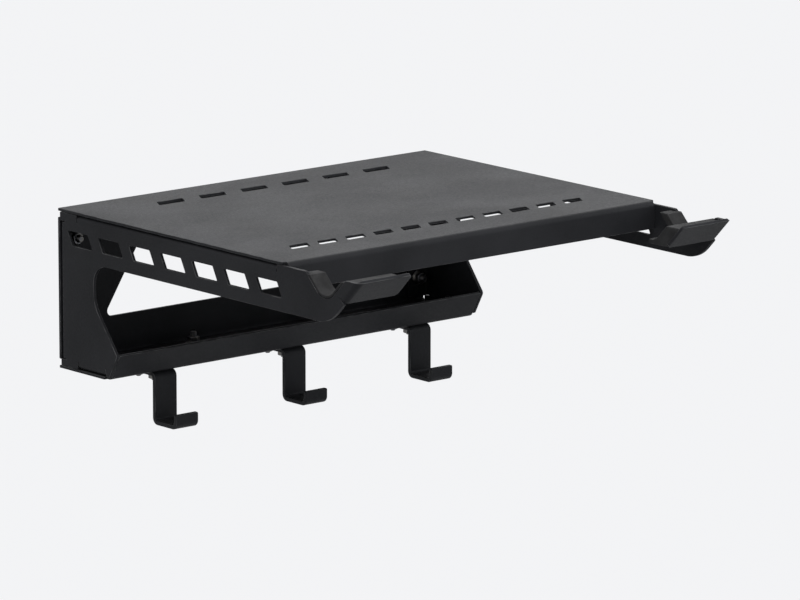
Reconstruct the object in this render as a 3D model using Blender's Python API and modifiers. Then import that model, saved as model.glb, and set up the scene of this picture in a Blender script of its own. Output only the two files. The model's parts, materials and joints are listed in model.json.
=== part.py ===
"""Wall-mounted bike hanger in folded sheet steel, built as separate pieces.

A shelf lies on two arms. The arms reach past the shelf and carry a round tube in padded V
cradles. A lower tray with a leaning lip lies along the wall, with three flat hooks under it.

Units are metres. The wall is the plane y = 0 and the object stands out of it towards -Y, +X runs
along the wall and +Z is up. The origin is on the back plate's wall face, midway along its upper
band. Inside this file a place is given by x, by its depth out of the wall and by its height over
the foot of the object. One empty carries all pieces down to the origin.
"""

import math

import bmesh
import bpy
from mathutils import Matrix, Vector

COLLECTION = "bike_hanger"
CUTTERS = "cutters"

# Overall sizes
WIDTH = 0.345
HEIGHT = 0.117
SHELF_DEPTH = 0.258

# Sheet, bends and the gap between touching pieces
SIDE_SHEET = 0.0025
PLATE_SHEET = 0.0020
BEND_RADIUS = 0.0040
CORNER_RADIUS = 0.0030
RELIEF_WIDTH = 0.0015
GAP = 0.0003

# Side panels: the bar on the wall, the foot that follows the tray and the arm above
BAR_DEPTH = 0.041
FOOT_SLOPE = math.radians(52)
FOOT_FILLET = 0.025
ARM_HEIGHT = 0.035
ARM_FILLET = 0.014
FLANGE_WIDTH = 0.020

# Cradle: where the tube lies, and the nose in front of it
TUBE_RADIUS = 0.0127
TUBE_DEPTH = 0.300
TUBE_DROP = 0.0150
NOSE_HEEL_RADIUS = 0.030
NOSE_BAND = 0.0110
SEAT_FILLET = 0.011
TAB_WIDTH = 0.047
TAB_RISE = 0.016
PAD_WIDTH = 0.045
PAD_LINER = 0.0020
PAD_LEG = 0.0060
PAD_LEG_WIDTH = 0.014
PAD_REAR = 0.0020
PAD_TOP_DROP = 0.0015

# Shelf and tray
SHELF_LIP = 0.020
TRAY_DEPTH = 0.057
TRAY_LIP_REACH = 0.0105
TRAY_LIP_RISE = 0.019

# Slots: the ends of all of them lean alike
SLOT_LEAN = 0.0055
SLOT_HEIGHT = 0.0105
SLOT_CORNER = 0.0010
LONG_SLOT = 0.0235
SHORT_SLOT = 0.0165
SIDE_ROW_PITCH = 0.0355
SIDE_ROW_MARGIN = 0.0110
SIDE_ROW_DROP = 0.0200
FRONT_ROW_PITCH = 0.0254
FRONT_ROW_MARGIN = 0.033
FRONT_ROW_DEPTH = 0.217
BACK_ROW_PITCH = 0.0385
BACK_ROW_MARGIN = 0.059
BACK_ROW_DEPTH = 0.034

# Back plate: its window and its wall holes
WINDOW_SIDE = 0.0394
WINDOW_LEAN = math.radians(57.5)
LOWER_BAND = 0.032
UPPER_BAND = 0.029
WINDOW_FILLET = 0.004
WALL_HOLE_RADIUS = 0.0035
WALL_HOLE_SIDE = 0.0525
WALL_HOLES = 4

# Hooks
HOOK_WIDTH = 0.020
HOOK_SHEET = 0.0030
HOOK_SIDE = 0.0525
HOOK_DROP = 0.0385
HOOK_THROAT = 0.0215
HOOK_LIP = 0.0110
HOOK_FLANGE = 0.042
HOOK_BEND = 0.0050

# M5 studs with flange nuts, and the hooks' M4 screws with theirs
STUD_RADIUS = 0.0025
STUD_LENGTH = 0.0110
STUD_CHAMFER = 0.0006
STUD_INSET = 0.0110
NUT_WIDTH = 0.0080
NUT_HEIGHT = 0.0050
NUT_FLANGE_RADIUS = 0.0056
NUT_FLANGE_SHEET = 0.0012
SCREW_RADIUS = 0.0020
SCREW_HEAD_RADIUS = 0.0038
SCREW_HEAD_HEIGHT = 0.0022
SCREW_HEAD_EDGE = 0.0007
SCREW_CROWN_RADIUS = 0.0023
SCREW_SPACING = 0.018
SCREW_FRONT = 0.014
SCREW_END = 0.0012
SMALL_NUT_WIDTH = 0.0070
SMALL_NUT_HEIGHT = 0.0044
SMALL_FLANGE_RADIUS = 0.0047
SMALL_FLANGE_SHEET = 0.0010

# How finely arcs, bends and corners are divided, and what counts as one point
ROUND_SIDES = 12
ARC_STEP = math.radians(15)
BEND_SEGMENTS = 4
CORNER_SEGMENTS = 3
SMOOTH_ANGLE = math.radians(40)
WELD = 0.00001

# Worked-out places
PANEL_BACK = PLATE_SHEET + GAP
PANEL_FOOT = PLATE_SHEET + GAP
PANEL_TOP = HEIGHT - PLATE_SHEET - GAP
PANEL_SIDE = WIDTH / 2
INNER_SIDE = PANEL_SIDE - SIDE_SHEET - GAP
HOOK_PITCH = PANEL_SIDE - HOOK_SIDE
ARM_FOOT = HEIGHT - ARM_HEIGHT
TUBE_HEIGHT = HEIGHT - TUBE_DROP + TUBE_RADIUS
WINDOW_TOP = HEIGHT - UPPER_BAND
MOUNT_HEIGHT = (WINDOW_TOP + PANEL_TOP - PLATE_SHEET) / 2
RELIEF_DEPTH = BEND_RADIUS + RELIEF_WIDTH
BEND_CLEARANCE = BEND_RADIUS + GAP
TAB_FOOT = ARM_FOOT + TAB_RISE
FOOT_TOP = TRAY_LIP_RISE + (TRAY_DEPTH + TRAY_LIP_REACH - BAR_DEPTH) * math.tan(FOOT_SLOPE)


def tidy_scene() -> None:
    """Remove every object, so that the file can be run again."""
    for thing in list(bpy.data.objects):
        bpy.data.objects.remove(thing, do_unlink=True)
    for name in (COLLECTION, CUTTERS):
        collection = bpy.data.collections.get(name) or bpy.data.collections.new(name)
        if collection.name not in bpy.context.scene.collection.children:
            bpy.context.scene.collection.children.link(collection)


def material(name: str, colour: tuple, roughness: float, metallic: float) -> bpy.types.Material:
    """A Principled material with one colour, roughness and metallic value."""
    made = bpy.data.materials.get(name) or bpy.data.materials.new(name)
    made.use_nodes = True
    shader = made.node_tree.nodes["Principled BSDF"]
    shader.inputs["Base Color"].default_value = (*colour, 1.0)
    shader.inputs["Roughness"].default_value = roughness
    shader.inputs["Metallic"].default_value = metallic
    made.diffuse_color = (*colour, 1.0)
    return made


def coated_steel() -> bpy.types.Material:
    """Matt black powder coat of the folded sheets and the hooks."""
    return material("powder_coated_steel", (0.030, 0.031, 0.034), 0.55, 0.0)


def pad_rubber() -> bpy.types.Material:
    """Black rubber of the cradle pads."""
    return material("cradle_rubber", (0.018, 0.018, 0.018), 0.8, 0.0)


def dark_fastener_steel() -> bpy.types.Material:
    """Black-zinc steel of the studs, nuts and screws."""
    return material("black_zinc_steel", (0.10, 0.10, 0.11), 0.4, 1.0)


def at(x: float, depth: float, height: float) -> Vector:
    """The point at x, at this depth out of the wall and this height over the foot."""
    return Vector((x, -depth, height))


def fillet(before: Vector, corner: Vector, after: Vector, radius: float) -> list:
    """Points of the arc that rounds one corner of an outline."""
    to_before = (before - corner).normalized()
    to_after = (after - corner).normalized()
    half_angle = to_before.angle(to_after) / 2
    reach = radius / math.tan(half_angle)
    centre = corner + (to_before + to_after).normalized() * radius / math.sin(half_angle)
    start = corner + to_before * reach - centre
    turn = math.pi - 2 * half_angle
    if to_before.x * to_after.y - to_before.y * to_after.x > 0:
        turn = -turn
    steps = max(2, math.ceil(abs(turn) / ARC_STEP))
    points = []
    for step in range(steps + 1):
        angle = turn * step / steps
        points.append(centre + Matrix.Rotation(angle, 2) @ start)
    return points


def rounded(corners: list, closed: bool = True) -> list:
    """An outline's points, with each (a, b, radius) corner rounded by its radius."""
    count = len(corners)
    points = []
    for place, (a, b, radius) in enumerate(corners):
        corner = Vector((a, b))
        at_end = not closed and place in (0, count - 1)
        if radius == 0 or at_end:
            points.append(corner)
            continue
        before = Vector(corners[place - 1][:2])
        after = Vector(corners[(place + 1) % count][:2])
        points.extend(fillet(before, corner, after, radius))
    return points


def circle(centre_a: float, centre_b: float, radius: float, sides: int = ROUND_SIDES) -> list:
    """The points of a regular outline round a centre."""
    points = []
    for step in range(sides):
        angle = 2 * math.pi * (step + 0.5) / sides
        points.append(Vector((centre_a + radius * math.cos(angle), centre_b + radius * math.sin(angle))))
    return points


def slanted_slot(centre_a: float, centre_b: float, length: float) -> list:
    """A slot with level edges and ends that lean, centred on a point."""
    half = length / 2
    lean = SLOT_LEAN / 2
    rise = SLOT_HEIGHT / 2
    return rounded([
        (centre_a - half + lean, centre_b - rise, SLOT_CORNER),
        (centre_a + half + lean, centre_b - rise, SLOT_CORNER),
        (centre_a + half - lean, centre_b + rise, SLOT_CORNER),
        (centre_a - half - lean, centre_b + rise, SLOT_CORNER),
    ])


# Ways to lay a flat outline (a, b) into the object, with its thickness along the third axis
UPRIGHT_ALONG_ARM = Matrix(((0, 0, 1, 0), (-1, 0, 0, 0), (0, 1, 0, 0), (0, 0, 0, 1)))
LEVEL = Matrix(((1, 0, 0, 0), (0, -1, 0, 0), (0, 0, 1, 0), (0, 0, 0, 1)))
ON_THE_WALL = Matrix(((1, 0, 0, 0), (0, 0, -1, 0), (0, 1, 0, 0), (0, 0, 0, 1)))


def mesh_of(thing: bpy.types.Object) -> bpy.types.Mesh:
    """The evaluated mesh of an object as new mesh data, with the object's own place applied."""
    bpy.context.view_layer.update()
    depsgraph = bpy.context.evaluated_depsgraph_get()
    mesh = bpy.data.meshes.new_from_object(thing.evaluated_get(depsgraph), depsgraph=depsgraph)
    mesh.transform(thing.matrix_world)
    return mesh


def outward(mesh: bpy.types.Mesh) -> None:
    """Weld a mesh's loose caps and turn its faces outward."""
    work = bmesh.new()
    work.from_mesh(mesh)
    bmesh.ops.remove_doubles(work, verts=work.verts, dist=WELD)
    bmesh.ops.recalc_face_normals(work, faces=work.faces)
    work.to_mesh(mesh)
    work.free()


def flat_plate(name: str, outlines: list, low: float, high: float, lie: Matrix) -> bpy.types.Mesh:
    """Mesh of flat outlines given a thickness from low to high along the third axis."""
    drawing = bpy.data.curves.new(name, "CURVE")
    drawing.dimensions = "2D"
    drawing.fill_mode = "BOTH"
    drawing.extrude = (high - low) / 2
    for outline in outlines:
        spline = drawing.splines.new("POLY")
        spline.points.add(len(outline) - 1)
        for point, (a, b) in zip(spline.points, outline):
            point.co = (a, b, 0.0, 1.0)
        spline.use_cyclic_u = True
    thing = bpy.data.objects.new(name, drawing)
    bpy.context.scene.collection.objects.link(thing)
    thing.matrix_world = lie @ Matrix.Translation((0, 0, (low + high) / 2))
    mesh = mesh_of(thing)
    bpy.data.objects.remove(thing, do_unlink=True)
    outward(mesh)
    mesh.name = name
    return mesh


def merged(name: str, meshes: list) -> bpy.types.Mesh:
    """One mesh that holds several separate bodies."""
    work = bmesh.new()
    for mesh in meshes:
        work.from_mesh(mesh)
    whole = bpy.data.meshes.new(name)
    work.to_mesh(whole)
    work.free()
    return whole


def piece(name: str, mesh: bpy.types.Mesh, finish: bpy.types.Material) -> bpy.types.Object:
    """A named piece of the object in its own material."""
    mesh.name = name
    mesh.materials.clear()
    mesh.materials.append(finish)
    thing = bpy.data.objects.new(name, mesh)
    bpy.data.collections[COLLECTION].objects.link(thing)
    return thing


def cut(thing: bpy.types.Object, meshes: list) -> None:
    """Cut meshes out of a piece."""
    cutter = bpy.data.objects.new(f"{thing.name}_cutter", merged(f"{thing.name}_cutter", meshes))
    bpy.data.collections[CUTTERS].objects.link(cutter)
    cutter.hide_render = True
    cutter.display_type = "WIRE"
    boolean = thing.modifiers.new("cuts", "BOOLEAN")
    boolean.operation = "DIFFERENCE"
    boolean.solver = "EXACT"
    boolean.object = cutter


def thicken(thing: bpy.types.Object, sheet: float) -> None:
    """Give a skin its sheet thickness, away from the side that its faces look to."""
    solid = thing.modifiers.new("sheet", "SOLIDIFY")
    solid.thickness = sheet
    solid.offset = -1.0
    solid.use_even_offset = True


def folded_strip(corners: list, left: float, right: float) -> bpy.types.Mesh:
    """Skin of a strip folded along X: its rounded side view, drawn out from left to right."""
    points = rounded(corners, closed=False)
    work = bmesh.new()
    chain = [work.verts.new(at(left, depth, height)) for depth, height in points]
    edges = [work.edges.new(pair) for pair in zip(chain, chain[1:])]
    drawn = bmesh.ops.extrude_edge_only(work, edges=edges)
    moved = [item for item in drawn["geom"] if isinstance(item, bmesh.types.BMVert)]
    bmesh.ops.translate(work, verts=moved, vec=(right - left, 0, 0))
    mesh = bpy.data.meshes.new("strip")
    work.to_mesh(mesh)
    work.free()
    return mesh


def face_towards(mesh: bpy.types.Mesh, place: Vector, direction: Vector) -> None:
    """Turn a skin's faces so that the face nearest a place looks in a direction."""
    nearest = min(mesh.polygons, key=lambda face: (face.center - place).length)
    if nearest.normal.dot(direction) < 0:
        mesh.flip_normals()


def box(low: Vector, high: Vector) -> bpy.types.Mesh:
    """Mesh of a box between two opposite corners."""
    work = bmesh.new()
    bmesh.ops.create_cube(work, size=1.0)
    bmesh.ops.scale(work, verts=work.verts, vec=[abs(b - a) for a, b in zip(low, high)])
    bmesh.ops.translate(work, verts=work.verts, vec=(low + high) / 2)
    mesh = bpy.data.meshes.new("box")
    work.to_mesh(mesh)
    work.free()
    return mesh


def mirrored(mesh: bpy.types.Mesh) -> bpy.types.Mesh:
    """The mirror image of a mesh across the middle of the object."""
    copy = mesh.copy()
    copy.transform(Matrix.Scale(-1, 4, (1, 0, 0)))
    copy.flip_normals()
    return copy


def end_boxes(depths: tuple, heights: tuple) -> list:
    """Boxes that clear a folded edge at both ends, where the side panels stand."""
    beyond = WIDTH
    boxes = []
    for side in (-1, 1):
        inner, outer = sorted((side * INNER_SIDE, side * beyond))
        boxes.append(box(at(inner, depths[1], heights[0]), at(outer, depths[0], heights[1])))
    return boxes


def round_holes(places: list, radius: float, low: float, high: float, lie: Matrix) -> list:
    """Cutters for round holes at places (a, b) of a flat sheet."""
    return [flat_plate("hole", [circle(a, b, radius)], low, high, lie) for a, b in places]


def shelf_stud_places() -> dict:
    """Where studs hang under the shelf, as (x, depth): along both arms and along the back."""
    side = PANEL_SIDE - STUD_INSET
    rear = PANEL_BACK + 2 * FLANGE_WIDTH
    front = SHELF_DEPTH - FLANGE_WIDTH - STUD_INSET
    back = PANEL_BACK + STUD_INSET
    return {
        "left_front": (-side, front),
        "left_rear": (-side, rear),
        "right_front": (side, front),
        "right_rear": (side, rear),
        "back_left": (-HOOK_PITCH / 2, back),
        "back_right": (HOOK_PITCH / 2, back),
    }


def tray_stud_places() -> dict:
    """Where studs stand on the tray, as (x, depth)."""
    side = PANEL_SIDE - STUD_INSET
    middle = (PANEL_BACK + FLANGE_WIDTH + TRAY_DEPTH) / 2
    back = PANEL_BACK + STUD_INSET
    return {
        "left": (-side, middle),
        "right": (side, middle),
        "back_left": (-HOOK_PITCH / 2, back),
        "back_right": (HOOK_PITCH / 2, back),
    }


def back_stud_places() -> dict:
    """Where studs stand on the back plate, as (x, height)."""
    side = PANEL_SIDE - STUD_INSET
    low = PANEL_FOOT + FLANGE_WIDTH
    high = PANEL_TOP - FLANGE_WIDTH
    return {
        "left_low": (-side, low),
        "left_high": (-side, high),
        "right_low": (side, low),
        "right_high": (side, high),
    }


def hook_screw_places() -> dict:
    """Where screws hold the hooks under the tray, as (x, depth)."""
    places = {}
    for number, hook in enumerate(("left", "middle", "right")):
        x = (number - 1) * HOOK_PITCH
        places[f"{hook}_front"] = (x, TRAY_DEPTH - SCREW_FRONT)
        places[f"{hook}_rear"] = (x, TRAY_DEPTH - SCREW_FRONT - SCREW_SPACING)
    return places


def those_on(places: dict, word: str) -> list:
    """The places whose name starts with a word."""
    return [place for name, place in places.items() if name.startswith(word)]


def seat_line(offset: float) -> tuple:
    """Depth of the V seat's tip and its height, for a surface this far below the tube's skin."""
    tip_height = TUBE_HEIGHT - (TUBE_RADIUS + offset) * math.sqrt(2)
    return TUBE_DEPTH, tip_height


def nose_depth(height: float, inset: float = 0.0) -> float:
    """Depth of the nose's 45 degree front edge at a height, moved inward by an inset."""
    tip_depth, tip_height = seat_line(PAD_LINER + GAP)
    return tip_depth + (height - tip_height) + (NOSE_BAND - inset) * math.sqrt(2)


def foot_depth(height: float) -> float:
    """Depth of the tray lip's outer face at a height."""
    return TRAY_DEPTH + TRAY_LIP_REACH * height / TRAY_LIP_RISE


def notch(first: Vector, last: Vector, inward: Vector) -> list:
    """Corners of a relief notch in a straight edge, from its first mouth point to its last."""
    deep = inward.normalized() * RELIEF_DEPTH
    path = [first, first + deep, last + deep, last]
    return [(point.x, point.y, 0.0) for point in path]


def folded_edge(start: Vector, end: Vector, inward: Vector) -> list:
    """Corners of a straight edge that is folded from start to end, with a notch past each end."""
    along = (end - start).normalized() * RELIEF_WIDTH
    return notch(start - along, start, inward) + notch(end, end + along, inward)


def bar_fillet_share() -> float:
    """How much of the fillets at the bar's two ends fits on its straight front edge, at most 1."""
    foot_reach = FOOT_FILLET * math.tan((math.pi / 2 - FOOT_SLOPE) / 2)
    return min(1.0, (ARM_FOOT - FOOT_TOP - GAP) / (foot_reach + ARM_FILLET))


def side_outline() -> tuple:
    """Corners of a side panel as (depth, height, radius), and its folds as (start, end) points."""
    seat_fillet = SEAT_FILLET + PAD_LINER + GAP
    tip_depth, tip_height = seat_line(PAD_LINER + GAP)
    bar_share = bar_fillet_share()
    foot = (Vector((PANEL_BACK + FLANGE_WIDTH, PANEL_FOOT)),
            Vector((TRAY_DEPTH - CORNER_RADIUS, PANEL_FOOT)))
    back = (Vector((PANEL_BACK, PANEL_TOP - RELIEF_DEPTH - RELIEF_WIDTH)),
            Vector((PANEL_BACK, PANEL_FOOT + RELIEF_DEPTH)))
    top = (Vector((SHELF_DEPTH - 2 * RELIEF_DEPTH, PANEL_TOP)),
           Vector((PANEL_BACK + FLANGE_WIDTH, PANEL_TOP)))
    tab = (Vector((nose_depth(TAB_FOOT), TAB_FOOT)), Vector((nose_depth(PANEL_TOP), PANEL_TOP)))
    up_the_nose = (tab[1] - tab[0]).normalized()
    corners = [(PANEL_BACK, PANEL_FOOT, 0.0)]
    corners += folded_edge(*foot, Vector((0, 1)))
    corners += [
        (foot_depth(PANEL_FOOT), PANEL_FOOT, 0.0),
        (foot_depth(TRAY_LIP_RISE), TRAY_LIP_RISE, CORNER_RADIUS),
        (BAR_DEPTH, FOOT_TOP, FOOT_FILLET * bar_share),
        (BAR_DEPTH, ARM_FOOT, ARM_FILLET * bar_share),
        (nose_depth(ARM_FOOT), ARM_FOOT, NOSE_HEEL_RADIUS),
    ]
    corners += notch(tab[0] - up_the_nose * RELIEF_WIDTH, tab[0], Vector((-1, 1)))
    corners += [
        (nose_depth(PANEL_TOP), PANEL_TOP, 0.0),
        (tip_depth + PANEL_TOP - tip_height, PANEL_TOP, CORNER_RADIUS),
        (tip_depth, tip_height, seat_fillet),
        (tip_depth - PANEL_TOP + tip_height, PANEL_TOP, CORNER_RADIUS),
    ]
    corners += folded_edge(*top, Vector((0, -1)))
    corners += [(PANEL_BACK, PANEL_TOP, 0.0)]
    corners += folded_edge(*back, Vector((1, 0)))
    return corners, {"foot": foot, "tab": tab, "top": top, "back": back}


def edge_between(work: bmesh.types.BMesh, x: float, ends: tuple) -> bmesh.types.BMEdge:
    """The outline's edge that joins two of its (depth, height) points."""
    wanted = [at(x, depth, height) for depth, height in ends]
    for edge in work.edges:
        places = [vert.co for vert in edge.verts]
        for first, second in (places, places[::-1]):
            if (first - wanted[0]).length < GAP and (second - wanted[1]).length < GAP:
                return edge
    raise ValueError("no edge of the outline joins these points")


def side_skin() -> bpy.types.Mesh:
    """Outer skin of the left side panel: its flat face, three flanges and the nose tab."""
    corners, folds = side_outline()
    x = -PANEL_SIDE
    work = bmesh.new()
    ring = [work.verts.new(at(x, depth, height)) for depth, height in rounded(corners)]
    work.faces.new(ring)
    bmesh.ops.remove_doubles(work, verts=work.verts, dist=WELD)
    for name, ends in folds.items():
        drawn = bmesh.ops.extrude_edge_only(work, edges=[edge_between(work, x, ends)])
        moved = [item for item in drawn["geom"] if isinstance(item, bmesh.types.BMVert)]
        width = TAB_WIDTH if name == "tab" else FLANGE_WIDTH
        bmesh.ops.translate(work, verts=moved, vec=(width, 0, 0))
        bmesh.ops.bevel(work, geom=moved, offset=CORNER_RADIUS, segments=CORNER_SEGMENTS, profile=0.5,
                        affect="VERTICES", clamp_overlap=False)
    bent = [edge_between(work, x, ends) for ends in folds.values()]
    bmesh.ops.bevel(work, geom=bent, offset=BEND_RADIUS, segments=BEND_SEGMENTS, profile=0.5,
                    affect="EDGES", clamp_overlap=False)
    bmesh.ops.recalc_face_normals(work, faces=work.faces)
    mesh = bpy.data.meshes.new("side_skin")
    work.to_mesh(mesh)
    work.free()
    face_towards(mesh, at(x, BAR_DEPTH / 2, HEIGHT / 2), Vector((-1, 0, 0)))
    return mesh


def side_slot_outlines() -> list:
    """The row of slots along an arm, as (depth, height) outlines."""
    whole_slot = LONG_SLOT + SLOT_LEAN
    count = round((SHELF_DEPTH - 2 * SIDE_ROW_MARGIN - whole_slot) / SIDE_ROW_PITCH) + 1
    first = SIDE_ROW_MARGIN + whole_slot / 2
    return [slanted_slot(first + number * SIDE_ROW_PITCH, HEIGHT - SIDE_ROW_DROP, LONG_SLOT)
            for number in range(count)]


def build_side_panels(finish: bpy.types.Material) -> None:
    """Left side panel and its mirror image, with slots and stud holes."""
    beyond = PANEL_SIDE + BEND_RADIUS
    inside = PANEL_SIDE - BEND_RADIUS
    slots = [flat_plate("slot", [outline], -beyond, -inside, UPRIGHT_ALONG_ARM)
             for outline in side_slot_outlines()]
    hole = STUD_RADIUS + GAP
    above = (PANEL_TOP - BEND_RADIUS, HEIGHT)
    below = (0.0, PANEL_FOOT + BEND_RADIUS)
    behind = (0.0, PANEL_BACK + BEND_RADIUS)
    holes = round_holes(those_on(shelf_stud_places(), "left"), hole, *above, LEVEL)
    holes += round_holes(those_on(tray_stud_places(), "left"), hole, *below, LEVEL)
    holes += round_holes(those_on(back_stud_places(), "left"), hole, *behind, ON_THE_WALL)
    skin = side_skin()
    left = piece("left_side_panel", skin, finish)
    thicken(left, SIDE_SHEET)
    cut(left, slots + holes)
    right = piece("right_side_panel", mirrored(skin), finish)
    thicken(right, SIDE_SHEET)
    cut(right, [mirrored(mesh) for mesh in slots + holes])


def shelf_row(depth: float, length: float, pitch: float, margin: float) -> list:
    """A row of slots along the shelf, centred on its middle, as (x, depth) outlines."""
    count = int((WIDTH - 2 * margin - length - SLOT_LEAN) / pitch) + 1
    first = -(count - 1) * pitch / 2
    return [slanted_slot(first + number * pitch, depth, length) for number in range(count)]


def build_shelf(finish: bpy.types.Material) -> None:
    """Shelf plate: a level sheet with a front lip folded down and two rows of slots."""
    side_view = [(0.0, HEIGHT, 0), (SHELF_DEPTH, HEIGHT, BEND_RADIUS), (SHELF_DEPTH, HEIGHT - SHELF_LIP, 0)]
    skin = folded_strip(side_view, -PANEL_SIDE, PANEL_SIDE)
    face_towards(skin, at(0, SHELF_DEPTH / 2, HEIGHT), Vector((0, 0, 1)))
    shelf = piece("shelf_plate", skin, finish)
    thicken(shelf, PLATE_SHEET)
    slots = shelf_row(FRONT_ROW_DEPTH, SHORT_SLOT, FRONT_ROW_PITCH, FRONT_ROW_MARGIN)
    slots += shelf_row(BACK_ROW_DEPTH, LONG_SLOT, BACK_ROW_PITCH, BACK_ROW_MARGIN)
    cutters = [flat_plate("slot", [outline], HEIGHT - 2 * PLATE_SHEET, HEIGHT + PLATE_SHEET, LEVEL)
               for outline in slots]
    front = (SHELF_DEPTH - BEND_CLEARANCE, SHELF_DEPTH + BEND_CLEARANCE)
    cutters += end_boxes(front, (HEIGHT - 2 * SHELF_LIP, HEIGHT + SHELF_LIP))
    cut(shelf, cutters)


def build_tray(finish: bpy.types.Material) -> None:
    """Lower tray: a level floor with a lip that leans out along its front."""
    side_view = [
        (0.0, 0.0, 0),
        (TRAY_DEPTH, 0.0, BEND_RADIUS),
        (foot_depth(TRAY_LIP_RISE), TRAY_LIP_RISE, 0),
    ]
    skin = folded_strip(side_view, -PANEL_SIDE, PANEL_SIDE)
    face_towards(skin, at(0, TRAY_DEPTH / 2, 0), Vector((0, 0, -1)))
    tray = piece("lower_tray", skin, finish)
    thicken(tray, PLATE_SHEET)
    front = (TRAY_DEPTH - BEND_CLEARANCE, 2 * TRAY_DEPTH)
    cutters = end_boxes(front, (-TRAY_LIP_RISE, 2 * TRAY_LIP_RISE))
    screws = list(hook_screw_places().values())
    cutters += round_holes(screws, SCREW_RADIUS + GAP, -PLATE_SHEET, 2 * PLATE_SHEET, LEVEL)
    cut(tray, cutters)


def window_outline() -> list:
    """The back plate's window: level edges, ends that lean in towards the top."""
    low_side = PANEL_SIDE - WINDOW_SIDE
    high_side = low_side - (WINDOW_TOP - LOWER_BAND) / math.tan(WINDOW_LEAN)
    return rounded([
        (-low_side, LOWER_BAND, WINDOW_FILLET),
        (low_side, LOWER_BAND, WINDOW_FILLET),
        (high_side, WINDOW_TOP, WINDOW_FILLET),
        (-high_side, WINDOW_TOP, WINDOW_FILLET),
    ])


def wall_hole_places() -> list:
    """Where wall screws pass through the back plate, as (x, height)."""
    outermost = PANEL_SIDE - WALL_HOLE_SIDE
    pitch = 2 * outermost / (WALL_HOLES - 1)
    return [(number * pitch - outermost, MOUNT_HEIGHT) for number in range(WALL_HOLES)]


def build_back(finish: bpy.types.Material) -> None:
    """Back plate: a web on the wall with a window, and a flange forward along its top and foot."""
    flange_end = PANEL_BACK + FLANGE_WIDTH - 2 * RELIEF_WIDTH
    side_view = [
        (flange_end, PANEL_FOOT, 0),
        (0.0, PANEL_FOOT, BEND_RADIUS),
        (0.0, PANEL_TOP, BEND_RADIUS),
        (flange_end, PANEL_TOP, 0),
    ]
    skin = folded_strip(side_view, -PANEL_SIDE, PANEL_SIDE)
    face_towards(skin, at(0, 0, HEIGHT / 2), Vector((0, 1, 0)))
    back = piece("back_plate", skin, finish)
    thicken(back, PLATE_SHEET)
    cutters = [flat_plate("window", [window_outline()], -PLATE_SHEET, 2 * PLATE_SHEET, ON_THE_WALL)]
    cutters += round_holes(wall_hole_places(), WALL_HOLE_RADIUS, -PLATE_SHEET, 2 * PLATE_SHEET, ON_THE_WALL)
    reach = (-BEND_CLEARANCE, 2 * FLANGE_WIDTH)
    cutters += end_boxes(reach, (PANEL_TOP - BEND_CLEARANCE, HEIGHT + BEND_CLEARANCE))
    cutters += end_boxes(reach, (-BEND_CLEARANCE, PANEL_FOOT + BEND_CLEARANCE))
    hole = STUD_RADIUS + GAP
    above = (PANEL_TOP - 2 * PLATE_SHEET, HEIGHT)
    below = (0.0, PANEL_FOOT + 2 * PLATE_SHEET)
    cutters += round_holes(those_on(shelf_stud_places(), "back"), hole, *above, LEVEL)
    cutters += round_holes(those_on(tray_stud_places(), "back"), hole, *below, LEVEL)
    cut(back, cutters)


def build_hooks(finish: bpy.types.Material) -> None:
    """Three flat strips bent to a J, each with a flange under the tray."""
    front = TRAY_DEPTH
    floor = -HOOK_DROP + HOOK_SHEET
    side_view = [
        (front - HOOK_FLANGE, -GAP, 0),
        (front, -GAP, HOOK_BEND),
        (front, floor, HOOK_BEND - HOOK_SHEET),
        (front + HOOK_THROAT, floor, HOOK_BEND - HOOK_SHEET),
        (front + HOOK_THROAT, -HOOK_DROP + HOOK_LIP, 0),
    ]
    for number, side in enumerate(("left", "middle", "right")):
        centre = (number - 1) * HOOK_PITCH
        skin = folded_strip(side_view, centre - HOOK_WIDTH / 2, centre + HOOK_WIDTH / 2)
        face_towards(skin, at(centre, front - HOOK_FLANGE / 2, 0), Vector((0, 0, 1)))
        hook = piece(f"{side}_hook", skin, finish)
        thicken(hook, HOOK_SHEET)
        own = those_on(hook_screw_places(), side)
        cut(hook, round_holes(own, SCREW_RADIUS + GAP, -2 * HOOK_SHEET, HOOK_SHEET, LEVEL))


def pad_outline() -> list:
    """Side view of a cradle pad: a V seat over the nose tab, with a thinner leg behind the tube."""
    root = math.sqrt(2)
    tip_depth, tip_height = seat_line(0.0)
    top = PANEL_TOP - PAD_TOP_DROP
    front_inset = SIDE_SHEET + GAP
    leg_foot = tip_depth - (TAB_FOOT - tip_height) - PAD_LEG * root
    return rounded([
        (tip_depth, tip_height, SEAT_FILLET),
        (tip_depth + top - tip_height, top, 0.0),
        (nose_depth(top, front_inset), top, 0.0),
        (nose_depth(TAB_FOOT, front_inset), TAB_FOOT, 0.0),
        (leg_foot, TAB_FOOT, 0.0),
        (tip_depth - (top - tip_height) - PAD_LEG * root, top, 0.0),
        (tip_depth - (top - tip_height), top, 0.0),
    ])


def pad_rebate() -> list:
    """Side view of the room that the pad leaves for the side panel's own V edge."""
    tip_depth, tip_height = seat_line(PAD_LINER)
    reach = ARM_HEIGHT
    return rounded([
        (tip_depth, tip_height, SEAT_FILLET + PAD_LINER),
        (tip_depth + reach, tip_height + reach, 0.0),
        (tip_depth + 2 * reach, tip_height, 0.0),
        (tip_depth, tip_height - 2 * reach, 0.0),
        (tip_depth - 2 * reach, tip_height, 0.0),
        (tip_depth - reach, tip_height + reach, 0.0),
    ])


def pad_bend_relief() -> list:
    """Side view of the strip that the pad leaves for the inside of the tab's bend."""
    low = ARM_FOOT
    high = HEIGHT + ARM_HEIGHT
    inner = BEND_RADIUS + GAP
    return [
        Vector((nose_depth(low), low)),
        Vector((nose_depth(high), high)),
        Vector((nose_depth(high, inner), high)),
        Vector((nose_depth(low, inner), low)),
    ]


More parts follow.
